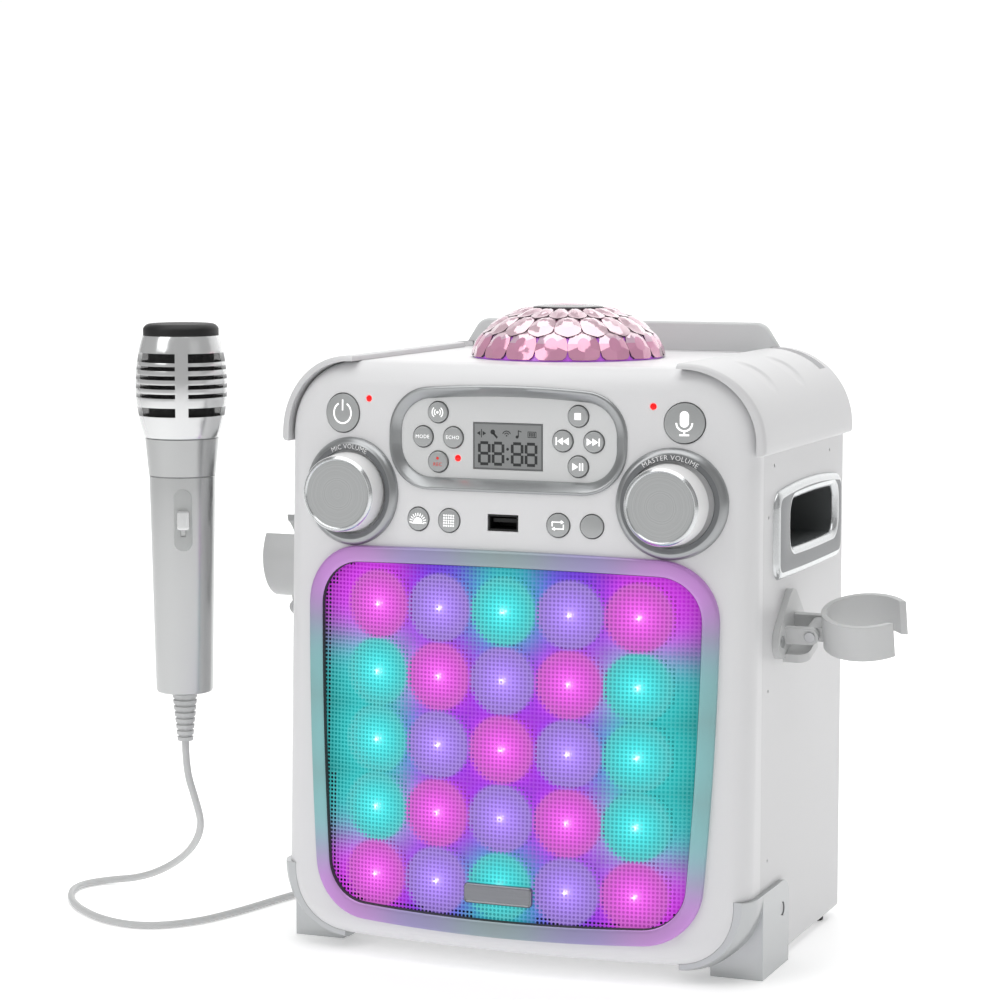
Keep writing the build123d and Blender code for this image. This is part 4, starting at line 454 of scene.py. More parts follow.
# Solder mask of the circuit boards: green under a thin gloss.
BOARD_GREEN = Finish("green_solder_mask", "#1F5B34", 0.35, pattern=Pattern.PLAIN, coat=0.4)
# Shrunk sleeve of the battery: blue film with a soft gloss.
SLEEVE_BLUE = Finish("blue_shrink_sleeve", "#2B3F7A", 0.3, pattern=Pattern.PLAIN, coat=0.3)
# Pressed paper of the woofer's cone: black, fibrous, without gloss.
CONE_BLACK = Finish("black_paper_cone", "#151516", 0.8, grain_mm=0.8, depth_mm=0.05)
# Brushed aluminium of the blank badge: fine scratches that stretch the highlight.
BADGE_STEEL = Finish("brushed_badge_aluminium", "#8E9094", 0.32, 0.9, Pattern.BRUSHED, 0.5, 0.004, 0.12)
# Black steel sheet of the grille, which takes the light of the diodes behind it.
LIT_SHEET = LitFinish("lit_perforated_steel", 0.7, 0.5, "#101012", 0.6)
# Milk polycarbonate of the lenses, filled with the diode's light.
LIT_LENS = LitFinish("lit_milk_polycarbonate", 0.65, 0.35)
# Dark ABS between the lenses, with the light that they spill painted on.
LIT_CARRIER = LitFinish("lit_carrier_abs", 0.7, 0.6)
# Silver lacquer of the grille frame, with the light of the diodes beside it painted into its colour.
LIT_FRAME = LitFinish("stained_silver_lacquer", 0.1, 0.9, "#AEB0B1", 0.36, 0.4)


# ---------------- mesh work
def bow_y(x: float, z: float, proud: float = 0.0) -> float:
    """y of the bowed front at a place seen from the front, `proud` millimetres before it."""
    return (BOW_APEX_Y + BOW_RADIUS - BOW_STRETCH * sqrt((BOW_RADIUS + proud) ** 2 - x * x)
            + BOW_LEAN * (z - BOW_APEX_Z))


def bowed(flat: Iterable[Flat], proud: float) -> list[Point]:
    """Places seen from the front, laid on the bowed front `proud` millimetres before it."""
    return [(x, bow_y(x, z, proud), z) for x, z in flat]


def round_places(centre: Flat, radius: float, count: int) -> list[Flat]:
    """Places evenly spaced round a circle."""
    return [(centre[0] + radius * cos(2 * pi * i / count), centre[1] + radius * sin(2 * pi * i / count))
            for i in range(count)]


@dataclass
class Net:
    """Points and faces of a mesh in millimetres, with a material number for each face."""

    points: list[Point] = field(default_factory=list)
    faces: list[tuple[int, ...]] = field(default_factory=list)
    tones: list[int] = field(default_factory=list)

    def add(self, points: Iterable[Point], faces: Iterable[Sequence[int]], tone: int = 0) -> None:
        """Append points and faces that count from the first of these points.

        Args:
            points: the new points.
            faces: corners of each new face.
            tone: material number.
        """
        first = len(self.points)
        self.points.extend(tuple(p) for p in points)
        for corners in faces:
            self.face((first + i for i in corners), tone)

    def face(self, corners: Iterable[int], tone: int = 0) -> None:
        """Append one face."""
        self.faces.append(tuple(corners))
        self.tones.append(tone)

    def join(self, other: "Net", tone: int = 0) -> None:
        """Append another net with its material numbers raised by `tone`.

        Args:
            other: the other net.
            tone: added to its material numbers.
        """
        first = len(self.points)
        self.points.extend(other.points)
        self.faces.extend(tuple(first + i for i in face) for face in other.faces)
        self.tones.extend(t + tone for t in other.tones)

    def moved(self, change: Callable[[Point], Point]) -> "Net":
        """Copy with every point changed."""
        return Net([change(p) for p in self.points], list(self.faces), list(self.tones))


def loops_net(loops: Sequence[Sequence[Point]], caps: tuple[bool, bool] = (False, False),
              tones: Sequence[int] | None = None, closed: bool = False) -> Net:
    """Skin between loops of equal length.

    Args:
        loops: rings of points in order.
        caps: close the first and the last ring with a face.
        tones: material number of each band.
        closed: join the last ring to the first.

    Returns:
        The skin.
    """
    net = Net()
    count = len(loops[0])
    net.points = [tuple(p) for loop in loops for p in loop]
    bands = len(loops) if closed else len(loops) - 1
    for band in range(bands):
        low, high = band * count, (band + 1) % len(loops) * count
        for i in range(count):
            j = (i + 1) % count
            net.face((low + i, low + j, high + j, high + i), tones[band] if tones else 0)
    if caps[0]:
        net.face(reversed(range(count)), tones[0] if tones else 0)
    if caps[1]:
        net.face(range((len(loops) - 1) * count, len(loops) * count), tones[-1] if tones else 0)
    return net


def lathe(profile: Sequence[Flat], sides: int, origin: Point, axis: Point,
          tones: Sequence[int] | None = None) -> Net:
    """Turned shape.

    Args:
        profile: radius and distance along the axis; a radius of zero closes the shape.
        sides: faces round it.
        origin: point on the axis.
        axis: direction of the axis.
        tones: material number of each band.

    Returns:
        The turned skin.
    """
    direction = Vector(axis).normalized()
    across = direction.orthogonal().normalized()
    if abs(direction.z) < 0.9:
        across = direction.cross(Vector((0, 0, 1))).normalized()
    other = direction.cross(across)
    net = Net()
    rows: list[list[int]] = []
    for radius, along in profile:
        middle = Vector(origin) + direction * along
        row = []
        for step in range(1 if radius < 1e-6 else sides):
            turn = 2 * pi * step / sides
            row.append(len(net.points))
            net.points.append(tuple(middle + radius * (cos(turn) * across + sin(turn) * other)))
        rows.append(row)
    for band, (low, high) in enumerate(zip(rows, rows[1:])):
        for i in range(sides):
            j = (i + 1) % sides
            corners = dict.fromkeys((low[i % len(low)], low[j % len(low)], high[j % len(high)], high[i % len(high)]))
            if len(corners) > 2:
                net.face(corners, tones[band] if tones else 0)
    return net


def circle_through(a: Flat, b: Flat, c: Flat) -> tuple[Flat, float]:
    """Centre and radius of the circle through three points.

    Args:
        a: first point.
        b: second point.
        c: third point.

    Returns:
        Centre and radius.
    """
    (ax, ay), (bx, by), (cx, cy) = a, b, c
    d = 2 * (ax * (by - cy) + bx * (cy - ay) + cx * (ay - by))
    ux = ((ax * ax + ay * ay) * (by - cy) + (bx * bx + by * by) * (cy - ay) + (cx * cx + cy * cy) * (ay - by)) / d
    uy = ((ax * ax + ay * ay) * (cx - bx) + (bx * bx + by * by) * (ax - cx) + (cx * cx + cy * cy) * (bx - ax)) / d
    return (ux, uy), hypot(ax - ux, ay - uy)


def circles_meet(first: tuple[Flat, float], second: tuple[Flat, float], near: Flat) -> Flat:
    """The meeting point of two circles that lies nearer to `near`.

    Args:
        first: centre and radius of a circle.
        second: the same of the other.
        near: place that chooses between the two.

    Returns:
        The meeting point.
    """
    (x0, y0), r0 = first
    (x1, y1), r1 = second
    gap = hypot(x1 - x0, y1 - y0)
    along = (r0 * r0 - r1 * r1 + gap * gap) / (2 * gap)
    height = sqrt(max(r0 * r0 - along * along, 0.0))
    mx, my = x0 + along * (x1 - x0) / gap, y0 + along * (y1 - y0) / gap
    found = [(mx + s * height * (y1 - y0) / gap, my - s * height * (x1 - x0) / gap) for s in (1, -1)]
    return min(found, key=lambda p: hypot(p[0] - near[0], p[1] - near[1]))


@dataclass(frozen=True)
class Lozenge:
    """Four-sided outline with bulging sides and round corners, as seen square on.

    Attributes:
        top_half: half width at the upper corners.
        foot_half: half width at the lower corners.
        low: lowest point.
        high: highest point.
        arch: rise of the top edge.
        sag: drop of the bottom edge.
        bulge: swell of the sides.
        corner: radius of the corners.
        middle: place across of its middle line.
        steps: points on a corner; a side has three times as many.
    """

    top_half: float
    foot_half: float
    low: float
    high: float
    arch: float
    sag: float
    bulge: float
    corner: float
    middle: float = 0.0
    steps: int = 12

    def rim(self) -> tuple[np.ndarray, np.ndarray]:
        """Points round the outline and the directions that point out of it.

        Returns:
            Two arrays with a row for each point, anticlockwise from the lower left corner.
        """
        tiny = 1e-3
        arch, sag, bulge = max(self.arch, tiny), max(self.sag, tiny), max(self.bulge, tiny)
        side = (self.top_half + self.foot_half) / 2 + bulge
        top, foot = self.high - arch, self.low + sag
        corners = [(-self.foot_half, foot), (self.foot_half, foot), (self.top_half, top), (-self.top_half, top)]
        mids = [(0.0, self.low), (side, (top + foot) / 2), (0.0, self.high), (-side, (top + foot) / 2)]
        sides = [circle_through(corners[i], mids[i], corners[(i + 1) % 4]) for i in range(4)]
        inner = [(centre, radius - self.corner) for centre, radius in sides]
        hubs = [circles_meet(inner[i - 1], inner[i], corners[i]) for i in range(4)]
        points, normals = [], []

        def arc(centre: Flat, radius: float, start: float, end: float, count: int) -> None:
            """Append a corner or a side, without its last point.

            Args:
                centre: of the arc.
                radius: of the arc.
                start: its first angle.
                end: its last angle.
                count: points on it.
            """
            sweep = (end - start) % (2 * pi)
            for step in range(count):
                turn = start + sweep * step / count
                normals.append((cos(turn), sin(turn)))
                points.append((centre[0] + radius * cos(turn), centre[1] + radius * sin(turn)))
        for i in range(4):
            centre, radius = sides[i]
            towards = [atan2(hub[1] - about[1], hub[0] - about[0])
                       for hub, about in ((hubs[i], sides[i - 1][0]), (hubs[i], centre), (hubs[(i + 1) % 4], centre))]
            arc(hubs[i], self.corner, towards[0], towards[1], self.steps)
            arc(centre, radius, towards[1], towards[2], 3 * self.steps)
        placed = np.array(points) + (self.middle, 0.0)
        return placed, np.array(normals)

    def loop(self, inset: float) -> np.ndarray:
        """Outline moved inwards."""
        points, normals = self.rim()
        return points - inset * normals

    def holds(self, x: float, z: float, inset: float) -> bool:
        """Whether a place lies inside the outline moved inwards.

        Args:
            x: place across.
            z: place up.
            inset: how far the outline is moved in.

        Returns:
            True inside it.
        """
        loop = self.loop(inset)
        after = np.roll(loop, -1, axis=0)
        across = (loop[:, 1] > z) != (after[:, 1] > z)
        with np.errstate(divide="ignore", invalid="ignore"):
            at = (after[:, 0] - loop[:, 0]) * (z - loop[:, 1]) / (after[:, 1] - loop[:, 1]) + loop[:, 0]
        return bool(np.count_nonzero(across & (x < at)) % 2)


# ---------------- workshop
@dataclass
class Workshop:
    """Turns nets and CAD nodes into finished pieces on the right body.

    Attributes:
        kit: what the frame gave.
        shift: from the machine's millimetres to the row's.
    """

    kit: dict
    shift: Vector = field(default_factory=Vector)

    def __post_init__(self) -> None:
        """Find the machine in the row frame."""
        low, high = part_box("front_housing")
        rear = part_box("rear_shell")[1]
        self.shift = Vector(((low.x + high.x) / 2 / MM, rear.y / MM - REAR_Y, 0.0))

    def row(self, point: Sequence[float]) -> Vector:
        """A place of the machine, in row metres."""
        return (Vector(point) + self.shift) * MM

    def piece(self, name: str, net: Net, finishes: Sequence, body: str, replaces: Sequence[str] = (),
              smooth: float = 32.0, keep_normals: bool = False) -> bpy.types.Object:
        """Make a piece from a net.

        Args:
            name: of the piece.
            net: its points and faces.
            finishes: for each material number.
            body: that it rides on.
            replaces: CAD nodes that it stands for.
            smooth: degrees between faces above which an edge stays sharp.
            keep_normals: the faces already point outwards.

        Returns:
            The piece.
        """
        data = bpy.data.meshes.new(name)
        data.from_pydata([self.row(p) for p in net.points], [], net.faces)
        for finish in finishes:
            data.materials.append(finish.material())
        data.polygons.foreach_set("material_index", net.tones)
        self.shade(data, smooth, not keep_normals)
        return self.fit(stand(name, data), body, replaces)

    def fit(self, made: bpy.types.Object, body: str, replaces: Sequence[str] = ()) -> bpy.types.Object:
        """Seat a piece on its body.

        Args:
            made: the piece.
            body: that it rides on.
            replaces: CAD nodes that it stands for.

        Returns:
            The piece.
        """
        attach(made, body)
        if replaces:
            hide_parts(*replaces)
        log.info("%s: %d faces on %s", made.name, len(made.data.polygons), body)
        return made

    def node(self, name: str, finish, smooth: float = 30.0, bevel: float = 0.0,
             paint: Callable[[Vector, Vector], int] | None = None, others: Sequence = ()) -> bpy.types.Object:
        """Finish a CAD node: a smooth copy of its mesh that takes its place.

        Args:
            name: of the node.
            finish: its main finish.
            smooth: degrees above which an edge stays sharp.
            bevel: width of a rounded edge in millimetres.
            paint: gives the material number of a face from its middle and normal, in machine millimetres.
            others: finishes after the main one.

        Returns:
            The copy.
        """
        source = self.kit["nodes"][name]
        data = source.data.copy()
        made = stand(name + "_skin", data)
        data.name = made.name
        made.matrix_world = Matrix.Identity(4)
        data.materials.clear()
        for each in (finish, *others):
            data.materials.append(each.material())
        mesh = bmesh.new()
        mesh.from_mesh(data)
        bmesh.ops.remove_doubles(mesh, verts=mesh.verts, dist=2e-6)
        bmesh.ops.dissolve_limit(mesh, angle_limit=radians(0.4), verts=mesh.verts, edges=mesh.edges)
        if bevel:
            sharp = [e for e in mesh.edges if e.is_manifold and e.calc_face_angle() > radians(smooth)]
            bmesh.ops.bevel(mesh, geom=sharp, offset=bevel * MM, segments=2, profile=0.6, affect="EDGES",
                            clamp_overlap=True)
        bmesh.ops.triangulate(mesh, faces=[f for f in mesh.faces if len(f.verts) > 4])
        for face in mesh.faces:
            face.material_index = 0
            if paint:
                middle = face.calc_center_median() / MM - self.shift
                face.material_index = paint(middle, face.normal)
        mesh.to_mesh(data)
        mesh.free()
        if "custom_normal" in data.attributes:
            data.attributes.remove(data.attributes["custom_normal"])
        self.shade(data, smooth, False)
        return self.fit(made, source["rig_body"], [name])

    def keep(self, name: str, finish) -> None:
        """Give a CAD node that is hardly seen its finish.

        Args:
            name: of the node.
            finish: its finish.
        """
        data = self.kit["nodes"][name].data
        data.materials.clear()
        data.materials.append(finish.material())
        log.info("%s: CAD node with %s", name, finish.name)

    @staticmethod
    def shade(data: bpy.types.Mesh, smooth: float, recalculate: bool) -> None:
        """Smooth faces and mark the edges that stay sharp.

        Args:
            data: the mesh.
            smooth: degrees above which an edge stays sharp.
            recalculate: merge doubles and turn the faces outwards first.
        """
        mesh = bmesh.new()
        mesh.from_mesh(data)
        if recalculate:
            bmesh.ops.remove_doubles(mesh, verts=mesh.verts, dist=1e-6)
            bmesh.ops.recalc_face_normals(mesh, faces=mesh.faces)
        for face in mesh.faces:
            face.smooth = True
        for edge in mesh.edges:
            edge.smooth = not (edge.is_manifold and edge.calc_face_angle() > radians(smooth))
        mesh.to_mesh(data)
        mesh.free()
        data.update()


# ---------------- printed marks
@dataclass
class Ink:
    """Flat printed marks on a face: strokes, discs and words in the face's own millimetres.

    Attributes:
        height: thickness of the ink.
    """

    height: float = 0.12
    net: Net = field(default_factory=Net)

    def area(self, outline: Sequence[Flat], tone: int = 0) -> "Ink":
        """Fill an outline that runs anticlockwise and has no holes.

        Args:
            outline: its corners.
            tone: material number.

        Returns:
            These marks.
        """
        count = len(outline)
        points = [(x, y, 0.0) for x, y in outline] + [(x, y, self.height) for x, y in outline]
        faces = [tuple(range(count, 2 * count))]
        faces += [(i, (i + 1) % count, count + (i + 1) % count, count + i) for i in range(count)]
        self.net.add(points, faces, tone)
        return self

    def stroke(self, path: Sequence[Flat], width: float, tone: int = 0) -> "Ink":
        """Draw a line of a given width, piece by piece.

        Args:
            path: its points.
            width: of the line.
            tone: material number.

        Returns:
            These marks.
        """
        for (x0, y0), (x1, y1) in zip(path, path[1:]):
            length = hypot(x1 - x0, y1 - y0) or 1.0
            nx, ny = -(y1 - y0) / length * width / 2, (x1 - x0) / length * width / 2
            ex, ey = ny * 0.5, -nx * 0.5
            self.area([(x0 - nx - ex, y0 - ny - ey), (x1 - nx + ex, y1 - ny + ey),
                       (x1 + nx + ex, y1 + ny + ey), (x0 + nx - ex, y0 + ny - ey)], tone)
        return self

    def arc(self, centre: Flat, radius: float, start: float, end: float, width: float,
            tone: int = 0, steps: int = 24) -> "Ink":
        """Draw part of a ring between two angles in degrees.

        Args:
            centre: of the ring.
            radius: of its middle line.
            start: first angle.
            end: last angle.
            width: of the line.
            tone: material number.
            steps: straight pieces in it.

        Returns:
            These marks.
        """
        inner, outer = radius - width / 2, radius + width / 2
        turns = [radians(start + (end - start) * i / steps) for i in range(steps + 1)]
        rings = [[(centre[0] + r * cos(t), centre[1] + r * sin(t)) for t in turns] for r in (inner, outer)]
        for i in range(steps):
            self.area([rings[0][i], rings[1][i], rings[1][i + 1], rings[0][i + 1]], tone)
        return self

    def block(self, centre: Flat, half: Flat, tone: int = 0) -> "Ink":
        """Fill a rectangle given by its middle and its half width and height."""
        (x, y), (a, b) = centre, half
        return self.area([(x - a, y - b), (x + a, y - b), (x + a, y + b), (x - a, y + b)], tone)

    def disc(self, centre: Flat, radius: float, tone: int = 0, steps: int = 20) -> "Ink":
        """Fill a disc."""
        return self.area(round_places(centre, radius, steps), tone)

    def word(self, text: str, size: float, centre: Flat, tone: int = 0,
             bend: tuple[Flat, float] | None = None) -> "Ink":
        """Set a word in the plain built-in type.

        Args:
            text: the word.
            size: height of the type.
            centre: where its middle goes.
            tone: material number.
            bend: centre and radius of a ring that it follows, its middle at the top.

        Returns:
            These marks.
        """
        curve = bpy.data.curves.new("type", "FONT")
        curve.body, curve.size, curve.align_x, curve.align_y = text, size, "CENTER", "CENTER"
        curve.resolution_u, curve.space_character = 2, 1.08
        made = stand("type", curve)
        flat = worked_out(made)
        places = []
        for vertex in flat.vertices:
            x, y = vertex.co.x, vertex.co.y
            if bend:
                (bx, by), radius = bend
                turn, reach = x / radius, radius + y
                places.append((bx + reach * sin(turn), by + reach * cos(turn), self.height))
            else:
                places.append((centre[0] + x, centre[1] + y, self.height))
        self.net.add(places, [tuple(f.vertices) for f in flat.polygons], tone)
        bpy.data.objects.remove(made)
        bpy.data.curves.remove(curve)
        bpy.data.meshes.remove(flat)
        return self

    def on(self, origin: Point, normal: Point = (0.0, -1.0, 0.0), up: Point = (0.0, 0.0, 1.0)) -> Net:
        """The marks on a face.

        Args:
            origin: where the marks' own origin goes.
            normal: direction that the face looks in.
            up: direction that the marks' tops point in.

        Returns:
            The placed marks.
        """
        out = Vector(normal).normalized()
        right = Vector(up).cross(out).normalized()
        top = out.cross(right)
        start = Vector(origin)
        return self.net.moved(lambda p: tuple(start + right * p[0] + top * p[1] + out * p[2]))


def front_normal(x: float) -> Point:
    """Direction that the bowed front looks in at a place across."""
    return (x / BOW_RADIUS, -1.0, BOW_LEAN)


# ---------------- studio
@dataclass
class Studio:
    """Camera, floor and soft lights.

    Attributes:
        eye: place of the camera in row millimetres.
        aim: point that it looks at.
        focal: focal length on a 36 mm wide sensor.
    """

    eye: Point = (494.4, -1287.5, 349.5)
    aim: Point = (-15.3, -13.2, 205.3)
    focal: float = 106.8

    def build(self) -> None:
        """Set up the camera, the sweep of floor and wall, and the lights."""
        scene = bpy.context.scene
        camera = stand("camera", bpy.data.cameras.new("camera"))
        camera.data.lens, camera.data.sensor_width = self.focal, 36.0
        camera.data.clip_start, camera.data.clip_end = 0.01, 50.0
        camera.location = Vector(self.eye) * MM
        camera.rotation_euler = (Vector(self.aim) - Vector(self.eye)).to_track_quat("-Z", "Y").to_euler()
        scene.camera = camera
        scene.view_settings.view_transform = "Standard"
        self._sweep()
        world = bpy.data.worlds.new("studio")
        world.use_nodes = True
        world.node_tree.nodes.clear()
        sky = add_node(world.node_tree, "ShaderNodeBackground", {"Color": WHITE, "Strength": 0.34})
        add_node(world.node_tree, "ShaderNodeOutputWorld", {"Surface": sky.outputs[0]})
        scene.world = world
        for lamp in (("key", (-0.9, -1.4, 1.3), 1.0, 6.2), ("fill", (1.6, -0.8, 0.8), 0.9, 0.4),
                     ("top", (0.0, -0.15, 1.6), 1.7, 15.5), ("wall", (-0.3, 1.0, 2.3), 1.8, 34.0, (-0.3, 3.2, 1.4))):
            self._lamp(*lamp)

    def _sweep(self) -> None:
        """Pale floor that curves up into a wall well behind the machine."""
        flat_end, bend = 1.8, 1.2
        profile = [(-4.0, 0.0), (flat_end, 0.0)]
        profile += [(flat_end + bend * sin(a), bend - bend * cos(a)) for a in (radians(10 * i) for i in range(1, 10))]
        profile += [(3.0, 4.5)]
        points = [(x, y, z) for y, z in profile for x in (-5.0, 5.0)]
        faces = [(2 * i, 2 * i + 1, 2 * i + 3, 2 * i + 2) for i in range(len(profile) - 1)]
        data = bpy.data.meshes.new("floor")
        data.from_pydata(points, [], faces)
        data.polygons.foreach_set("use_smooth", [True] * len(faces))
        # Matt white paint, lit a little by itself, so the floor melts into the wall.
        paint = replace(lacquer("painted_studio_floor", "#FBFBFB", 0.6, 0.0), glow=0.3)
        data.materials.append(paint.material())
        floor = stand("floor", data)

    @staticmethod
    def _lamp(name: str, place: Point, size: float, power: float, aim: Point = (0.0, 0.0, 0.15)) -> None:
        """Hang a square soft light that looks at the machine.

        Args:
            name: of the light.
            place: in row metres.
            size: of its side in metres.
            power: in watts.
            aim: point that it looks at.
        """
        light = bpy.data.lights.new(name, "AREA")
        light.shape, light.size, light.energy = "SQUARE", size, power
        lamp = stand(name, light)
        lamp.location = place
        lamp.rotation_euler = (Vector(aim) - Vector(place)).to_track_quat("-Z", "Y").to_euler()


# ---------------- cord
@dataclass
class MicrophoneCord:
    """Cord from the microphone over the floor into a put-away coil and the rear jack.

    Attributes:
        diameter: of the cord.
        relief_z: where it leaves the microphone.
        floor_z: height of its line on the floor.
        coil: middle of the coil.
        turn_radius: of the middle of the coil's turns.
        turns: in the coil.
        plug_x: place of the plug.
        plug_z: height of the plug.
        tail_y: where it enters the plug.
    """

    diameter: float = 3.5
    relief_z: float = 91.0
    floor_z: float = 1.85
    coil: Flat = (-62.0, 122.0)
    turn_radius: float = 20.0
    turns: float = 13.25
    plug_x: float = -56.0
    plug_z: float = 52.0
    tail_y: float = 122.0

    def route(self) -> list[Point]:
        """Control points from the microphone to the plug.

        Returns:
            Points in the machine's millimetres.
        """
        floor = self.floor_z
        first = [
            (MIC_X, MIC_Y, self.relief_z), (MIC_X, MIC_Y, 77.0), (-164.0, -54.0, 61.0),
            (-169.0, -38.0, 45.0), (-184.0, -20.0, 29.0), (-205.0, -3.0, 15.0), (-228.0, 9.0, 4.5),
            (-247.0, 8.0, floor), (-256.0, -8.0, floor), (-248.0, -29.0, floor), (-232.0, -49.0, floor),
            (-208.0, -66.0, floor), (-184.0, -70.0, floor), (-166.0, -54.0, floor), (-156.0, -27.0, floor),
            (-149.0, 4.0, floor), (-139.0, 38.0, floor), (-131.0, 71.0, floor), (-114.0, 94.0, floor),
            (-88.0, 101.4, floor),
        ]
        x, y = self.coil
        right = x + self.turn_radius
        last = [
            (right + 0.4, y + 15.0, 14.6), (right - 1.0, y + 30.0, 19.0), (right - 5.0, y + 39.0, 32.0),
            (right - 10.0, y + 35.0, 46.0), (self.plug_x, y + 18.0, self.plug_z),
            (self.plug_x, self.tail_y, self.plug_z),
        ]
        return first + self._coil() + last

    def _coil(self) -> list[Point]:
        """Turns that lie beside and on each other, a diameter apart.

        Returns:
            Points in the machine's millimetres.
        """
        pitch, settled = self.diameter, 0.6
        columns = (1, 2, 3, 0, 0, 1, 2, 3, 3, 2, 1, 0, 1, 2, 3)
        levels = (0, 0, 0, 0, 1, 1, 1, 1, 2, 2, 2, 2, 3, 3, 3)
        per_turn = 16
        count = int(self.turns * per_turn)
        points = []
        for step in range(count + 1):
            turn, part = divmod(step / per_turn, 1.0)
            here, after = int(turn), min(int(turn) + 1, len(columns) - 1)
            blend = max(0.0, (part - settled) / (1 - settled))
            blend = blend * blend * (3 - 2 * blend)
            column = columns[here] + blend * (columns[after] - columns[here])
            level = levels[here] + blend * (levels[after] - levels[here])
            radius = self.turn_radius + (column - 1.5) * pitch
            angle = radians(-90) + 2 * pi * step / per_turn
            points.append((self.coil[0] + radius * cos(angle), self.coil[1] + radius * sin(angle),
                           self.floor_z + level * pitch))
        return points

    def build(self, shop: Workshop) -> None:
        """Make the cord, and finish its coil and plug.

        Args:
            shop: the workshop.
        """
        curve = bpy.data.curves.new("mic_cord_line", "CURVE")
        curve.dimensions, curve.resolution_u = "3D", 6
        spline = curve.splines.new("NURBS")
        route = [shop.row(p) for p in self.route()]
        spline.points.add(len(route) - 1)
        for control, place in zip(spline.points, route):
            control.co = (*place, 1.0)
        spline.order_u, spline.use_endpoint_u = 3, True
        line = stand("mic_cord_line", curve)
        bare = bpy.data.meshes.new_from_object(line)
        curve.bevel_depth, curve.bevel_resolution, curve.use_fill_caps = self.diameter / 2 * MM, 2, True
        data = bpy.data.meshes.new_from_object(line)
        bpy.data.objects.remove(line)
        data.name = "mic_cord_tube"
        data.materials.clear()
        data.materials.append(CORD_GREY.material())
        shop.shade(data, 60.0, True)
        tube = stand("mic_cord_tube", data)
        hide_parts("mic_cord", "mic_cord_coil")
        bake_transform(tube)
        plug = shop.node("mic_plug", PLUG_GREY, 30.0, 0.0, self._plug_tone, (STEEL, BLACK_PLASTIC))

    @staticmethod
    def _plug_tone(middle: Vector, _normal: Vector) -> int:
        """The part of the plug before the jack's face is metal."""
        return 1 if middle.y < REAR_Y + 1.0 else 0


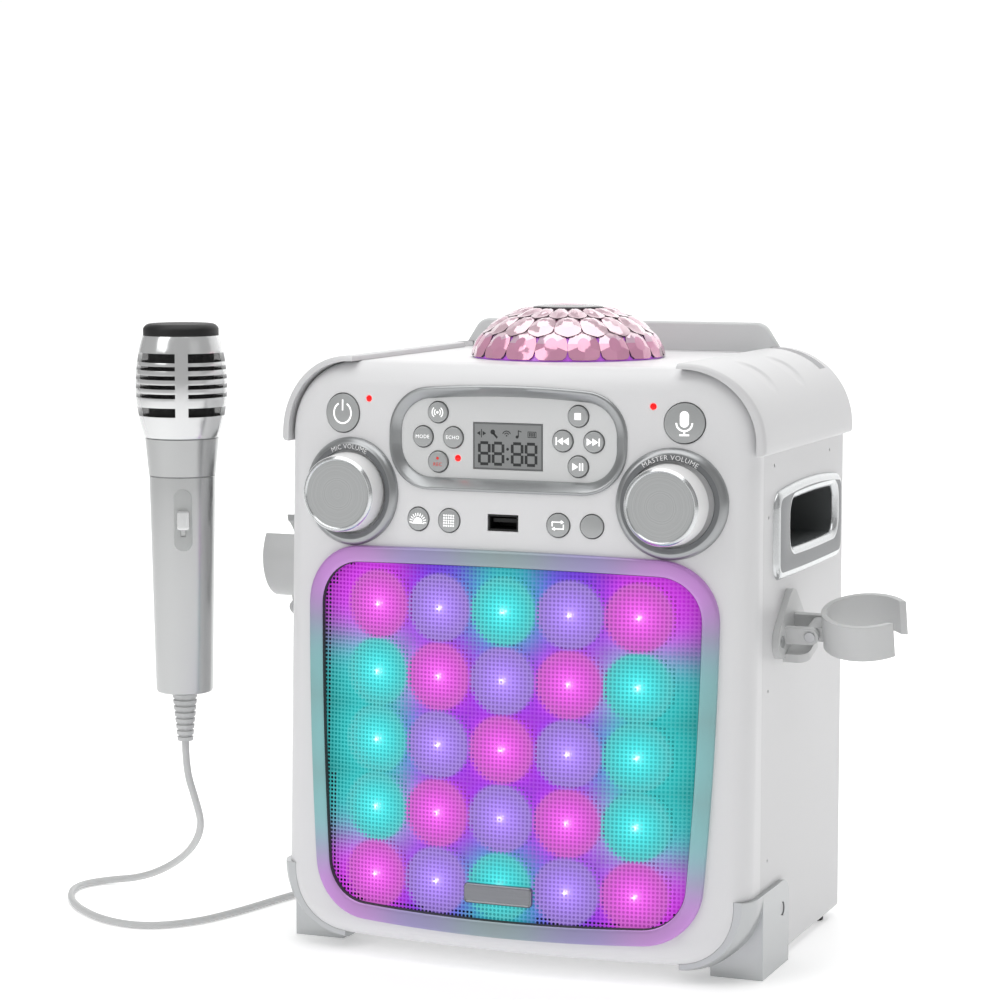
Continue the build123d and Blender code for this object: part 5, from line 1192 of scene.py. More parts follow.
# ---------------- cabinet
@dataclass
class Cabinet:
    """White mouldings, the deck, the shoulders with their finger scoops, and the tablet rest.

    Attributes:
        deck_half: half width of the deck between the shoulders.
        centre: middle of a shoulder's curve, across and up.
        radius: of the curve.
        inner: middle and radius of the cabinet's corner below.
        foot: lowest level of a shoulder.
        edge: radius of its rounded ends.
        slot: front, rear and outer end of the tablet slot.
        scoops: middles of the finger scoops along y.
        scooped: first and last place along y where a section is set every millimetre.
        scoop_x: middle of the scoops across.
        scoop_half: half width and half length of a scoop.
    """

    deck_half: float = 77.0
    centre: Flat = (80.0, 238.0)
    radius: float = 36.0
    inner: tuple[float, float, float] = (79.0, 238.5, 33.0)
    foot: float = 234.0
    edge: float = 1.9
    slot: tuple[float, float, float] = (70.0, 80.0, 104.0)
    scoops: tuple[float, ...] = (-18.0, 27.0)
    scooped: tuple[int, int] = (-48, 52)
    scoop_x: float = 99.5
    scoop_half: Flat = (9.0, 8.5)

    def build(self, shop: Workshop) -> None:
        """Finish the cabinet's pieces.

        Args:
            shop: the workshop.
        """
        # The shell's greyer white is painted shade; the deck's paler white is painted light from above.
        for name, white in (("front_housing", CABINET_WHITE), ("rear_shell", SHELL_WHITE_PAINTED_SHADE), ("top_deck", DECK_WHITE_PAINTED_LIGHT)):
            shop.node(name, white)
        for side, name in ((-1, "left_shoulder"), (1, "right_shoulder")):
            # The shoulders' greyer white is painted shade.
            shop.piece(name + "_cover", self._shoulder(side), (SHOULDER_WHITE_PAINTED_SHADE,), "cabinet", [name], 40.0)
        shop.node("tablet_rest", REST_GREY, 30.0, 0.4)

    def _section(self) -> list[tuple[Flat, Flat]]:
        """Outer and inner points of a shoulder's section, from the deck round to its foot.

        Returns:
            Pairs of points, across and up.
        """
        cx, cz = self.centre
        top = cz + self.radius
        ix, iz, ir = self.inner
        under, wall = top - 2.4, HALF_WIDTH + 0.05
        pairs = [((self.deck_half, top - 2.2), (self.deck_half, under)),
                 ((self.deck_half, top - 1.0), (self.deck_half + 0.1, under)),
                 ((self.deck_half + 0.3, top - 0.3), (self.deck_half + 0.4, under)),
                 ((self.deck_half + 1.0, top), (self.deck_half + 1.0, under))]
        for step in range(0, 31):
            turn = radians(90 - 3 * step)
            pairs.append(((cx + self.radius * cos(turn), cz + self.radius * sin(turn)),
                          (ix + (ir + 0.05) * cos(turn), iz + (ir + 0.05) * sin(turn))))
        side, foot = cx + self.radius, self.foot
        pairs += [((side, foot + 1.6), (wall, foot + 1.6)), ((side - 0.3, foot + 0.7), (wall, foot + 0.9)),
                  ((side - 1.0, foot + 0.15), (wall, foot + 0.4)), ((side - 2.0, foot), (wall, foot))]
        return pairs

    def _scoop(self, x: float, z: float, y: float) -> float:
        """Depth of the finger scoops at a place on a shoulder.

        Args:
            x: distance from the middle.
            z: height.
            y: place along.

        Returns:
            The depth.
        """
        if z < self.centre[1]:
            return 0.0
        depth = 0.0
        for middle in self.scoops:
            across, along = (x - self.scoop_x) / self.scoop_half[0], (y - middle) / self.scoop_half[1]
            reach = across ** 2 + along ** 2
            if reach < 1:
                depth = max(depth, min(1.0, 3 * (1 - reach)) * (1 + along) / 2)
        return depth

    def _ring(self, side: int, chosen: Sequence[tuple[Flat, Flat]], y: float | None,
              back: float = 0.0, inset: float = 0.0) -> list[Point]:
        """One section of a shoulder, down its outside and up its inside.

        Args:
            side: -1 for the left shoulder, 1 for the right one.
            chosen: outer and inner points of the section.
            y: place along the cabinet; None lays the section on the bowed front.
            back: distance behind the bowed front.
            inset: how far the outside is drawn in.

        Returns:
            The section's points.
        """
        outer, inner = [], []
        for (ox, oz), (nx, nz) in chosen:
            run = hypot(nx - ox, nz - oz) or 1.0
            share = min(inset / run, 0.85) if y is None else self._scoop(ox, oz, y) / run
            px, pz = ox + (nx - ox) * share, oz + (nz - oz) * share
            outer.append((side * px, (bow_y(px, pz) + back) if y is None else y, pz))
            inner.append((side * nx, (bow_y(nx, nz) + back) if y is None else y, nz))
        return outer + inner[::-1]

    def _shoulder(self, side: int) -> Net:
        """Shoulder with rounded ends and the tablet slot across it.

        Args:
            side: -1 for the left shoulder, 1 for the right one.

        Returns:
            Its skin: before, beside and behind the slot, with a cap wherever two lengths don't join.
        """
        front, rear, reach = self.slot
        pairs = self._section()
        cut = next(i for i, (outer, _) in enumerate(pairs) if outer[0] > reach)
        first, last = self.scooped
        nose = [(None, self.edge * (1 - sin(t)), self.edge * (1 - cos(t)))
                for t in (radians(15 * k) for k in range(6, -1, -1))]
        scooped = [(float(y),) for y in range(first, last + 1)]
        whole = len(pairs) - 1
        net = Net()
        for stations, chosen, caps in ((nose + scooped + [(front,)], pairs, (whole, cut)),
                                       ([(front,), (rear,)], pairs[cut:], (0, 0)),
                                       ([(rear,), (REAR_Y,)], pairs, (cut, whole))):
            part = loops_net([self._ring(side, chosen, *station) for station in stations])
            count = len(chosen)
            for at, quads in zip((0, len(stations) - 1), caps):
                low, high = 2 * at * count, 2 * (at + 1) * count - 1
                for i in range(quads):
                    part.face((low + i, low + i + 1, high - 1 - i, high - i))
            net.join(part)
        return net


# ---------------- grille
class Diode(Enum):
    """Colours of the light-emitting diodes: the lens before it and the light it spills round."""

    M = ("#F45CF2", "#D02AE6")
    V = ("#B48CFF", "#6A28E0")
    C = ("#40ECEE", "#1CBEBE")


@dataclass
class Grille:
    """Silver frame, perforated sheet lit from behind, lenses, their carrier and the blank badge.

    Attributes:
        outline: of the frame.
        face: width of the frame's face.
        pitch: of the perforation.
        hole: radius of a hole as a share of the pitch.
        lens_radius: of a lens.
        spacing: of the lenses, across and up.
        middle_z: height of the middle lens.
        rows: diodes from the top row down.
        badge: width, height and middle of the blank plaque.
        spread: reach of the light that a diode spills.
        haze: paleness of a lens towards its edge.
        margin: loss of light towards the frame.
    """

    outline: Lozenge = Lozenge(98.2, 91.2, 16.4, 189.8, 2.6, 2.6, 2.0, 27.0)
    face: float = 7.6
    pitch: float = 1.87
    hole: float = 0.36
    lens_radius: float = 15.4
    spacing: Flat = (31.2, 30.9)
    middle_z: float = 100.6
    rows: tuple[str, ...] = ("MVCVM", "CMVMC", "CVMVC", "CMVMC", "MVCVM")
    badge: tuple[float, float, float] = (32.5, 9.0, 35.5)
    spread: float = 17.0
    haze: float = 0.12
    margin: float = 0.45

    def diodes(self) -> list[tuple[float, float, Diode]]:
        """Place and colour of each diode."""
        return [((column - 2) * self.spacing[0], self.middle_z + (2 - row) * self.spacing[1], Diode[letter])
                for row, letters in enumerate(self.rows) for column, letter in enumerate(letters)]

    def _reach(self, places: np.ndarray) -> tuple[np.ndarray, np.ndarray, np.ndarray]:
        """Distances to the diodes, and the two colours of each diode.

        Args:
            places: rows of x and z.

        Returns:
            The three arrays.
        """
        diodes = self.diodes()
        centres = np.array([(x, z) for x, z, _ in diodes])
        own, spill = (np.array([linear(d.value[i])[:3] for *_, d in diodes]) for i in (0, 1))
        return np.linalg.norm(places[:, None, :] - centres[None], axis=2), own, spill

    def spilled(self, places: np.ndarray) -> np.ndarray:
        """Light that the diodes spill between the lenses.

        Args:
            places: rows of x and z.

        Returns:
            Linear red, green and blue at each place.
        """
        away, _, colours = self._reach(places)
        weight = np.exp(-(away / self.spread) ** 2)
        near = away.min(1)[:, None]
        dim = 1 - self.margin * np.clip((near - 15.0) / 14.0, 0, 1)
        return weight @ colours / np.maximum(weight.sum(1, keepdims=True), 1e-9) * dim

    def light(self, places: np.ndarray, lens: float, gap: float) -> np.ndarray:
        """Light at places seen from the front.

        Args:
            places: rows of x and z.
            lens: strength before a lens.
            gap: strength between the lenses.

        Returns:
            Linear red, green and blue at each place.
        """
        away, colours, _ = self._reach(places)
        near = away.min(1)[:, None]
        own = colours[away.argmin(1)]
        # A lens pales from 6 mm outwards, is fullest over its middle and ends within 0.35 mm of its rim.
        haze = np.clip((near - 6.0) / 9.4, 0, 1) ** 2 * self.haze
        own = own * (1 - haze) + haze * 0.6
        own = own * (0.62 + 0.42 * np.exp(-(near / 9.0) ** 2))
        inside = 1 / (1 + np.exp((near - self.lens_radius) / 0.35))
        # The diode itself: a hard white point and a small halo.
        spot = 1.1 * np.exp(-(near / 0.95) ** 2) + 0.12 * np.exp(-(near / 2.4) ** 2)
        return own * inside * lens + self.spilled(places) * (1 - inside) * gap + spot * lens

    def build(self, shop: Workshop) -> None:
        """Make the frame, sheet, lenses and carrier.

        Args:
            shop: the workshop.
        """
        self._frame(shop)
        self._sheet(shop)
        self._lenses(shop)
        self._carrier(shop)
        self._badge(shop)
        shop.keep("woofer", CONE_BLACK)

    def _paint_light(self, made: bpy.types.Object, shop: Workshop, colours: Callable[[np.ndarray], np.ndarray]) -> None:
        """Paint light onto a piece's points.

        Args:
            made: the piece.
            shop: the workshop.
            colours: gives the light at rows of x and z.
        """
        data = made.data
        co = np.empty(len(data.vertices) * 3)
        data.vertices.foreach_get("co", co)
        places = co.reshape(-1, 3)[:, (0, 2)] / MM - (shop.shift.x, shop.shift.z)
        values = np.ones((len(places), 4))
        values[:, :3] = np.clip(colours(places), 0, 2)
        layer = data.attributes.new("light", "FLOAT_COLOR", "POINT")
        layer.data.foreach_set("color", values.ravel())

    def _frame(self, shop: Workshop) -> None:
        """Frame with a rounded bright edge, a flat face and an inner step painted dark as shadow.

        Args:
            shop: the workshop.
        """
        profile = ((2.0, 0.0), (0.0, 0.0), (0.0, 1.3), (0.25, 1.95), (0.8, 2.35), (1.5, 2.4), (3.5, 2.3),
                   (5.5, 2.15), (6.7, 2.0), (7.2, 1.7), (7.5, 1.1), (7.6, 0.0), (7.6, -0.8), (5.4, -0.8),
                   (5.4, -9.0), (2.0, -9.0))
        # The inner edge and the step behind it take the painted shadow.
        tones = [0] * 9 + [1] * 7
        loops = [bowed(self.outline.loop(inset), proud) for inset, proud in profile]
        net = loops_net(loops, tones=tones, closed=True)
        made = shop.piece("grille_frame_ring", net, (LIT_FRAME, STEP_PAINTED_SHADOW), "cabinet", ["grille_frame"], 40.0)
        silver = np.array(linear("#96989A")[:3])

        def painted_light(places: np.ndarray) -> np.ndarray:
            """Silver with the nearest spilled light painted in: more of it, and brighter, towards the sides.

            Args:
                places: rows of x and z.

            Returns:
                Linear colours.
            """
            inner = places * 0.86 + (0.0, self.middle_z * 0.14)
            side = np.abs(inner[:, :1]) / 90.0
            share = 0.14 + 0.34 * side
            return ((1 - share) * silver + share * self.spilled(inner)) * (1 + 0.3 * side)
        self._paint_light(made, shop, painted_light)

    def _bowed_tree(self) -> bpy.types.NodeTree:
        """Tree that repeats a shape at the points of a flat layout and lays it on the bow.

        Returns:
            The tree.
        """
        tree = bpy.data.node_groups.new("repeat_on_bow", "GeometryNodeTree")
        numbers = ("Size", "Bow Radius", "Apex", "Apex Height", "Lean", "Stretch", "Proud")
        for name, kind in (("Layout", "Geometry"), ("Shape", "Object"), *((name, "Float") for name in numbers),
                           ("Finish", "Material")):
            tree.interface.new_socket(name, in_out="INPUT", socket_type="NodeSocket" + kind)
        tree.interface.new_socket("Result", in_out="OUTPUT", socket_type="NodeSocketGeometry")
        given = add_node(tree, "NodeGroupInput").outputs
        shape = add_node(tree, "GeometryNodeObjectInfo", {"Object": given["Shape"]}).outputs["Geometry"]
        copies = add_node(tree, "GeometryNodeInstanceOnPoints", {
            "Points": given["Layout"], "Instance": shape, "Scale": given["Size"]}).outputs[0]
        real = add_node(tree, "GeometryNodeRealizeInstances", {0: copies}).outputs[0]
        whole = add_node(tree, "GeometryNodeMergeByDistance", {"Geometry": real, "Distance": 2e-6}).outputs[0]
        place = add_node(tree, "ShaderNodeSeparateXYZ", {
            0: add_node(tree, "GeometryNodeInputPosition").outputs[0]}).outputs
        # Each sum has a name, what it does and the names that it works on.
        sums = {**{name: given[name] for name in numbers}, **{axis: place[axis] for axis in "XYZ"}}
        for name, kind, *terms in (
            ("outer", "ADD", "Bow Radius", "Proud"), ("outer squared", "MULTIPLY", "outer", "outer"),
            ("across squared", "MULTIPLY", "X", "X"), ("left", "SUBTRACT", "outer squared", "across squared"),
            ("reach", "SQRT", "left"), ("stretched", "MULTIPLY", "reach", "Stretch"),
            ("depth", "SUBTRACT", "Bow Radius", "stretched"), ("above", "SUBTRACT", "Z", "Apex Height"),
            ("leaning", "MULTIPLY", "Lean", "above"), ("bowed", "ADD", "Apex", "depth"),
            ("own", "ADD", "leaning", "Y"), ("laid", "ADD", "bowed", "own"),
        ):
            sums[name] = add_node(tree, "ShaderNodeMath", {i: sums[term] for i, term in enumerate(terms)},
                                  operation=kind).outputs[0]
        spot = add_node(tree, "ShaderNodeCombineXYZ", {0: place["X"], 1: sums["laid"], 2: place["Z"]}).outputs[0]
        laid = add_node(tree, "GeometryNodeSetPosition", {"Geometry": whole, "Position": spot}).outputs[0]
        done = add_node(tree, "GeometryNodeSetMaterial", {"Geometry": laid, "Material": given["Finish"]})
        add_node(tree, "NodeGroupOutput", {0: done.outputs[0]})
        return tree

    def _on_bow(self, shop: Workshop, name: str, places: Sequence[Flat], shape: Net, size: float,
                proud: float, finish: LitFinish, replaces: Sequence[str], smooth: float) -> bpy.types.Object:
        """Repeat a shape over the bowed front as one plain mesh.

        Args:
            shop: the workshop.
            name: of the piece.
            places: x and z of each copy.
            shape: the shape, flat in x and z.
            size: scale of the shape in millimetres.
            proud: distance before the bowed face.
            finish: of the piece.
            replaces: nodes that it stands for.
            smooth: degrees above which an edge stays sharp.

        Returns:
            The piece.
        """
        tree = bpy.data.node_groups.get("repeat_on_bow") or self._bowed_tree()
        unit = bpy.data.meshes.new("unit")
        unit.from_pydata(shape.points, [], shape.faces)
        layout = bpy.data.meshes.new(name)
        layout.from_pydata([(x * MM, 0.0, z * MM) for x, z in places], [], [])
        pattern, made = stand("unit", unit), stand(name, layout)
        modifier = made.modifiers.new("repeat", "NODES")
        modifier.node_group = tree
        sockets = {item.name: item.identifier for item in tree.interface.items_tree}
        for key, value in (
            ("Shape", pattern), ("Size", size * MM), ("Bow Radius", BOW_RADIUS * MM),
            ("Apex", BOW_APEX_Y * MM), ("Apex Height", BOW_APEX_Z * MM), ("Lean", BOW_LEAN), ("Stretch", BOW_STRETCH),
            ("Proud", proud * MM), ("Finish", finish.material()),
        ):
            modifier[sockets[key]] = value
        solid = worked_out(made)
        made.modifiers.clear()
        made.data = solid
        solid.name = name
        solid.transform(Matrix.Translation(shop.shift * MM))
        if not solid.materials:
            solid.materials.append(finish.material())
        shop.shade(solid, smooth, False)
        bpy.data.objects.remove(pattern)
        return shop.fit(made, "cabinet", replaces)

    def _lattice(self, step: float, count_x: int, count_z: int, inset: float) -> dict[tuple[int, int], Flat]:
        """Places of a square lattice that lie inside the frame.

        Args:
            step: of the lattice.
            count_x: steps to each side of the middle.
            count_z: steps up and down from the middle.
            inset: how far inside the outline they stay.

        Returns:
            x and z for each pair of steps.
        """
        middle = (self.outline.low + self.outline.high) / 2
        return {(i, j): (i * step, middle + j * step)
                for i in range(-count_x, count_x + 1) for j in range(-count_z, count_z + 1)
                if self.outline.holds(i * step, middle + j * step, inset)}

    def _sheet(self, shop: Workshop) -> None:
        """Perforated sheet: one hole and the metal round it, repeated inside the frame.

        Args:
            shop: the workshop.
        """
        cell = Net()
        square = [(0.5 * x, 0.5 * z) for x, z in ((1, 0), (1, 1), (0, 1), (-1, 1), (-1, 0), (-1, -1), (0, -1), (1, -1))]
        round_hole = [(self.hole * cos(pi * i / 4), self.hole * sin(pi * i / 4)) for i in range(8)]
        points = [(x, 0.0, z) for x, z in square + round_hole]
        cell.add(points, [(i, (i + 1) % 8, 8 + (i + 1) % 8, 8 + i) for i in range(8)])
        # The lattice starts out wider than the frame, which then cuts it to shape.
        laid = self._lattice(self.pitch, ceil(98 / self.pitch), ceil(87 / self.pitch), self.face - 1.2)
        places = list(laid.values())
        made = self._on_bow(shop, "perforated_sheet", places, cell, self.pitch, -0.8, LIT_SHEET,
                            ["speaker_grille"], 60.0)
        self._paint_light(made, shop, lambda p: self.light(p, 1.0, 1.05) * 0.96 + 0.02)

    def _lenses(self, shop: Workshop) -> None:
        """Round milk lenses, one before each diode.

        Args:
            shop: the workshop.
        """
        rings = (0.0, 1.5, 4.0, 8.0, 12.0, 14.6, self.lens_radius)
        profile = [(r, -0.9 * (1 - (r / self.lens_radius) ** 2)) for r in rings]
        lens = lathe([*profile, (self.lens_radius, 2.8)], 32, (0, 0, 0), (0, 1, 0))
        places = [(x, z) for x, z, _ in self.diodes()]
        made = self._on_bow(shop, "diode_lenses", places, lens, 1.0, -4.6, LIT_LENS, ["led_diffusers"], 50.0)
        self._paint_light(made, shop, lambda p: self.light(p, 0.8, 0.5))

    def _carrier(self, shop: Workshop) -> None:
        """Dark sheet behind the lenses that catches their spilled light.

        Args:
            shop: the workshop.
        """
        step = 3.0
        laid = self._lattice(step, int(96 / step), int(86 / step), self.face - 2.0)
        index = {key: number for number, key in enumerate(laid)}
        net = Net(bowed(laid.values(), -7.0))
        for i, j in laid:
            ring = [(i, j), (i + 1, j), (i + 1, j + 1), (i, j + 1)]
            if all(key in index for key in ring):
                net.face(index[key] for key in ring)
        made = shop.piece("diode_carrier", net, (LIT_CARRIER,), "cabinet", ["led_carrier"], 60.0, True)
        self._paint_light(made, shop, lambda p: self.light(p, 0.3, 0.85))

    def _badge(self, shop: Workshop) -> None:
        """Blank plaque with a raised rim.

        Args:
            shop: the workshop.
        """
        width, height, middle = self.badge
        outline = Lozenge(width / 2, width / 2, middle - height / 2, middle + height / 2, 0, 0, 0, 1.6, steps=5)
        profile = ((0.0, -0.8), (0.0, 0.6), (0.3, 1.0), (0.6, 1.15), (0.9, 1.0), (1.1, 0.75))
        loops = [bowed(outline.loop(inset), proud) for inset, proud in profile]
        net = loops_net(loops, (True, True))
        shop.piece("blank_badge", net, (BADGE_STEEL,), "cabinet", ["badge_plate"], 40.0)


# ---------------- controls
@dataclass
class Controls:
    """Bezel, panel, display, buttons with their printed marks, lamps and the socket.

    Attributes:
        panel_y: face of the flat panel.
        cap_proud: how far a panel button stands before the panel.
        bowed_proud: how far a button of the bowed face stands before it.
        display: width, height and middle of the display.
        ink: thickness of the printed marks.
        bezel: outline of the ring round the panel.
        on_bow: buttons of the bowed face; the others stand on the flat panel.
    """

    panel_y: float = PANEL_FACE_Y
    cap_proud: float = 1.1
    bowed_proud: float = 0.7
    display: tuple[float, float, float] = (33.0, 20.8, 235.6)
    ink: float = 0.1
    bezel: Lozenge = Lozenge(56.6, 56.6, 215.5, 263.0, 3.6, 0.0, 0.0, 20.0)
    on_bow: tuple[str, ...] = ("power_button", "microphone_button", "dome_light_button", "grid_light_button",
                               "repeat_button", "folder_button")

    def build(self, shop: Workshop) -> None:
        """Finish the control field and print its marks.

        Args:
            shop: the workshop.
        """
        self._bezel(shop)
        shop.node("control_panel", PANEL_LACQUER)
        shop.node("indicator_lights", RED_LAMP, 30.0, 0.3)
        shop.node("usb_socket", BLACK_PLASTIC)
        self._display(shop)
        for name, glyph in self._glyphs().items():
            shop.node(name, BUTTON_LACQUER, 30.0, 0.35)
            low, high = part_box(name)
            x, z = ((low + high) / 2 / MM - shop.shift).xz
            face, normal = self.panel_y - self.cap_proud, (0.0, -1.0, 0.0)
            if name in self.on_bow:
                face, normal = bow_y(x, z, self.bowed_proud), front_normal(x)
            net = glyph(Ink(self.ink)).on((x, face, z), normal)
            if net.points:
                shop.piece(name + "_mark", net, (WHITE_INK, RED_INK), name, keep_normals=True)

    def _bezel(self, shop: Workshop) -> None:
        """Silver ring whose face slopes in to the panel.

        Args:
            shop: the workshop.
        """
        loops = [bowed(self.bezel.loop(inset), proud)
                 for inset, proud in ((0.0, -1.5), (0.0, 0.4), (0.25, 0.9), (0.8, 1.2), (1.4, 1.15))]
        for inset, share in ((2.2, 0.15), (3.6, 0.45), (4.7, 0.72), (5.2, 0.86), (5.3, 1.0)):
            loops.append([(x, bow_y(x, z, 1.1) * (1 - share) + (self.panel_y - 0.05) * share, z)
                          for x, z in self.bezel.loop(inset)])
        loops += [[(x, self.panel_y + 1.0, z) for x, z in self.bezel.loop(inset)] for inset in (5.3, 2.0)]
        loops.append(bowed(self.bezel.loop(2.0), -1.5))
        shop.piece("control_bezel_ring", loops_net(loops, closed=True), (SILVER_LACQUER,), "cabinet",
                   ["control_bezel"], 40.0)

    def _glyphs(self) -> dict[str, Callable[[Ink], Ink]]:
        """What is printed on each button.

        Returns:
            For each button, what draws its mark.
        """
        return {
            "power_button": lambda ink: ink.arc((0, 0), 4.7, 118, 422, 0.75, steps=36).stroke(
                [(0, 5.9), (0, 1.3)], 0.75),
            "microphone_button": self._microphone_mark,
            "wireless_button": self._waves_mark,
            "mode_button": lambda ink: ink.word("MODE", 2.3, (0, 0)),
            "echo_button": lambda ink: ink.word("ECHO", 2.3, (0, 0)),
            "record_button": lambda ink: ink.word("REC", 2.3, (0, -1.2), 1).disc((0, 1.6), 0.65, 1),
            "stop_button": lambda ink: ink.block((0, 0), (1.5, 1.5)),
            "previous_button": lambda ink: self._skip_mark(ink, -1),
            "next_button": lambda ink: self._skip_mark(ink, 1),
            "play_button": self._play_mark,
            "dome_light_button": self._dome_mark,
            "grid_light_button": self._grid_mark,
            "repeat_button": self._repeat_mark,
            "folder_button": lambda ink: ink,
        }

    @staticmethod
    def _microphone_mark(ink: Ink) -> Ink:
        """Capsule in a yoke on a stand.

        Args:
            ink: the marks so far.

        Returns:
            The marks with this one.
        """
        ink.disc((0, 3.3), 2.0).disc((0, 0.1), 2.0)
        ink.area([(-2.0, 3.3), (-2.0, 0.1), (2.0, 0.1), (2.0, 3.3)])
        ink.arc((0, 0.1), 3.5, 180, 360, 0.8, steps=20)
        return ink.stroke([(0, -3.2), (0, -5.0)], 0.8).stroke([(-2.0, -5.2), (2.0, -5.2)], 0.8)

    @staticmethod
    def _waves_mark(ink: Ink) -> Ink:
        """Point that sends out waves to both sides.

        Args:
            ink: the marks so far.

        Returns:
            The marks with this one.
        """
        ink.disc((0, 0), 0.55)
        for radius in (1.5, 2.6):
            ink.arc((0, 0), radius, -52, 52, 0.45, steps=10).arc((0, 0), radius, 128, 232, 0.45, steps=10)
        return ink

    @staticmethod
    def _skip_mark(ink: Ink, way: int) -> Ink:
        """Two arrow heads and a bar.

        Args:
            ink: the marks so far.
            way: 1 for onwards, -1 for back.

        Returns:
            The marks with this one.
        """
        for start in (-3.1, -0.4):
            tip = [(start * way, 1.7), (start * way, -1.7), ((start + 2.7) * way, 0.0)]
            ink.area(tip if way > 0 else tip[::-1])
        return ink.stroke([(2.75 * way, 1.6), (2.75 * way, -1.6)], 0.6)

    @staticmethod
    def _play_mark(ink: Ink) -> Ink:
        """Arrow head and two bars."""
        ink.area([(-2.5, 1.7), (-2.5, -1.7), (0.3, 0.0)])
        return ink.stroke([(1.0, 1.5), (1.0, -1.5)], 0.65).stroke([(2.3, 1.5), (2.3, -1.5)], 0.65)

    @staticmethod
    def _dome_mark(ink: Ink) -> Ink:
        """Half dome with rays.

        Args:
            ink: the marks so far.

        Returns:
            The marks with this one.
        """
        ink.area([(2.3 * cos(radians(a)), -1.5 + 2.3 * sin(radians(a))) for a in range(0, 181, 15)])
        ink.stroke([(-3.0, -1.9), (3.0, -1.9)], 0.4)
        for turn in range(0, 181, 18):
            out = (cos(radians(turn)), sin(radians(turn)))
            ink.stroke([(2.9 * out[0], -1.5 + 2.9 * out[1]), (4.2 * out[0], -1.5 + 4.2 * out[1])], 0.42)
        return ink

    @staticmethod
    def _grid_mark(ink: Ink) -> Ink:
        """Square field of small squares.

        Args:
            ink: the marks so far.

        Returns:
            The marks with this one.
        """
        for i in range(5):
            for j in range(5):
                ink.block((1.15 * (i - 2), 1.15 * (j - 2)), (0.36, 0.36))
        return ink

    @staticmethod
    def _repeat_mark(ink: Ink) -> Ink:
        """Loop of two arrows."""
        ink.stroke([(-2.6, -0.4), (-2.6, 1.5), (1.6, 1.5)], 0.5).stroke([(2.6, 0.4), (2.6, -1.5), (-1.6, -1.5)], 0.5)
        return ink.area([(1.4, 2.4), (1.4, 0.6), (2.9, 1.5)]).area([(-1.4, -2.4), (-1.4, -0.6), (-2.9, -1.5)])

    def _display(self, shop: Workshop) -> None:
        """Border, film and segments of the display.

        Args:
            shop: the workshop.
        """
        width, height, middle = self.display
        shop.node("display", LCD_BORDER)
        film = Ink(0.05).block((0.0, 0.0), ((width - 1.4) / 2, (height - 1.4) / 2)).on((0.0, self.panel_y, middle))
        marks = Ink(self.ink)
        for left in (-13.6, -7.0, 2.1, 8.7):
            self._digit(marks, left, -8.0, 4.7, 9.4)
        marks.disc((-0.1, -5.6), 0.65).disc((-0.1, -1.2), 0.65)
        self._symbols(marks)
        film.join(marks.on((0.0, self.panel_y, middle)), 1)
        shop.piece("display_face", film, (LCD_FILM, LCD_SEGMENT), "cabinet", keep_normals=True)

    @staticmethod
    def _digit(ink: Ink, left: float, low: float, width: float, height: float, line: float = 1.3) -> None:
        """Seven segments, all dark.

        Args:
            ink: the marks so far.
            left: left side.
            low: lower side.
            width: of the digit.
            height: of the digit.
            line: width of a segment.
        """
        cut = line * 0.62
        right, top, mid = left + width, low + height, low + height / 2
        for z in (low, mid, top):
            ink.stroke([(left + cut, z), (right - cut, z)], line)
        for x in (left, right):
            ink.stroke([(x, low + cut), (x, mid - cut)], line).stroke([(x, mid + cut), (x, top - cut)], line)

    @staticmethod
    def _symbols(ink: Ink) -> None:
        """Row of small function symbols above the digits.

        Args:
            ink: the marks so far.
        """
        y = 5.6
        ink.stroke([(-12.6, y - 1.8), (-12.6, y + 1.8)], 0.35)
        ink.area([(-13.2, y + 1.0), (-14.8, y), (-13.2, y - 1.0)])
        ink.area([(-12.0, y - 1.0), (-10.4, y), (-12.0, y + 1.0)])
        ink.disc((-7.2, y + 0.7), 1.1).stroke([(-6.8, y), (-5.2, y - 1.7)], 0.9)
        ink.arc((-0.6, y - 0.6), 1.9, 20, 160, 0.4, steps=10).arc((-0.6, y - 0.6), 1.0, 20, 160, 0.4, steps=8)
        ink.disc((-0.6, y - 0.8), 0.35)
        ink.disc((4.4, y - 1.2), 0.7).stroke([(5.0, y - 1.2), (5.0, y + 1.6), (6.4, y + 1.1)], 0.4)
        ink.stroke([(9.6, y - 1.2), (9.6, y + 1.2), (13.4, y + 1.2), (13.4, y - 1.2), (9.6, y - 1.2)], 0.3)
        for x in (10.5, 11.5, 12.5):
            ink.stroke([(x, y - 0.7), (x, y + 0.7)], 0.6)


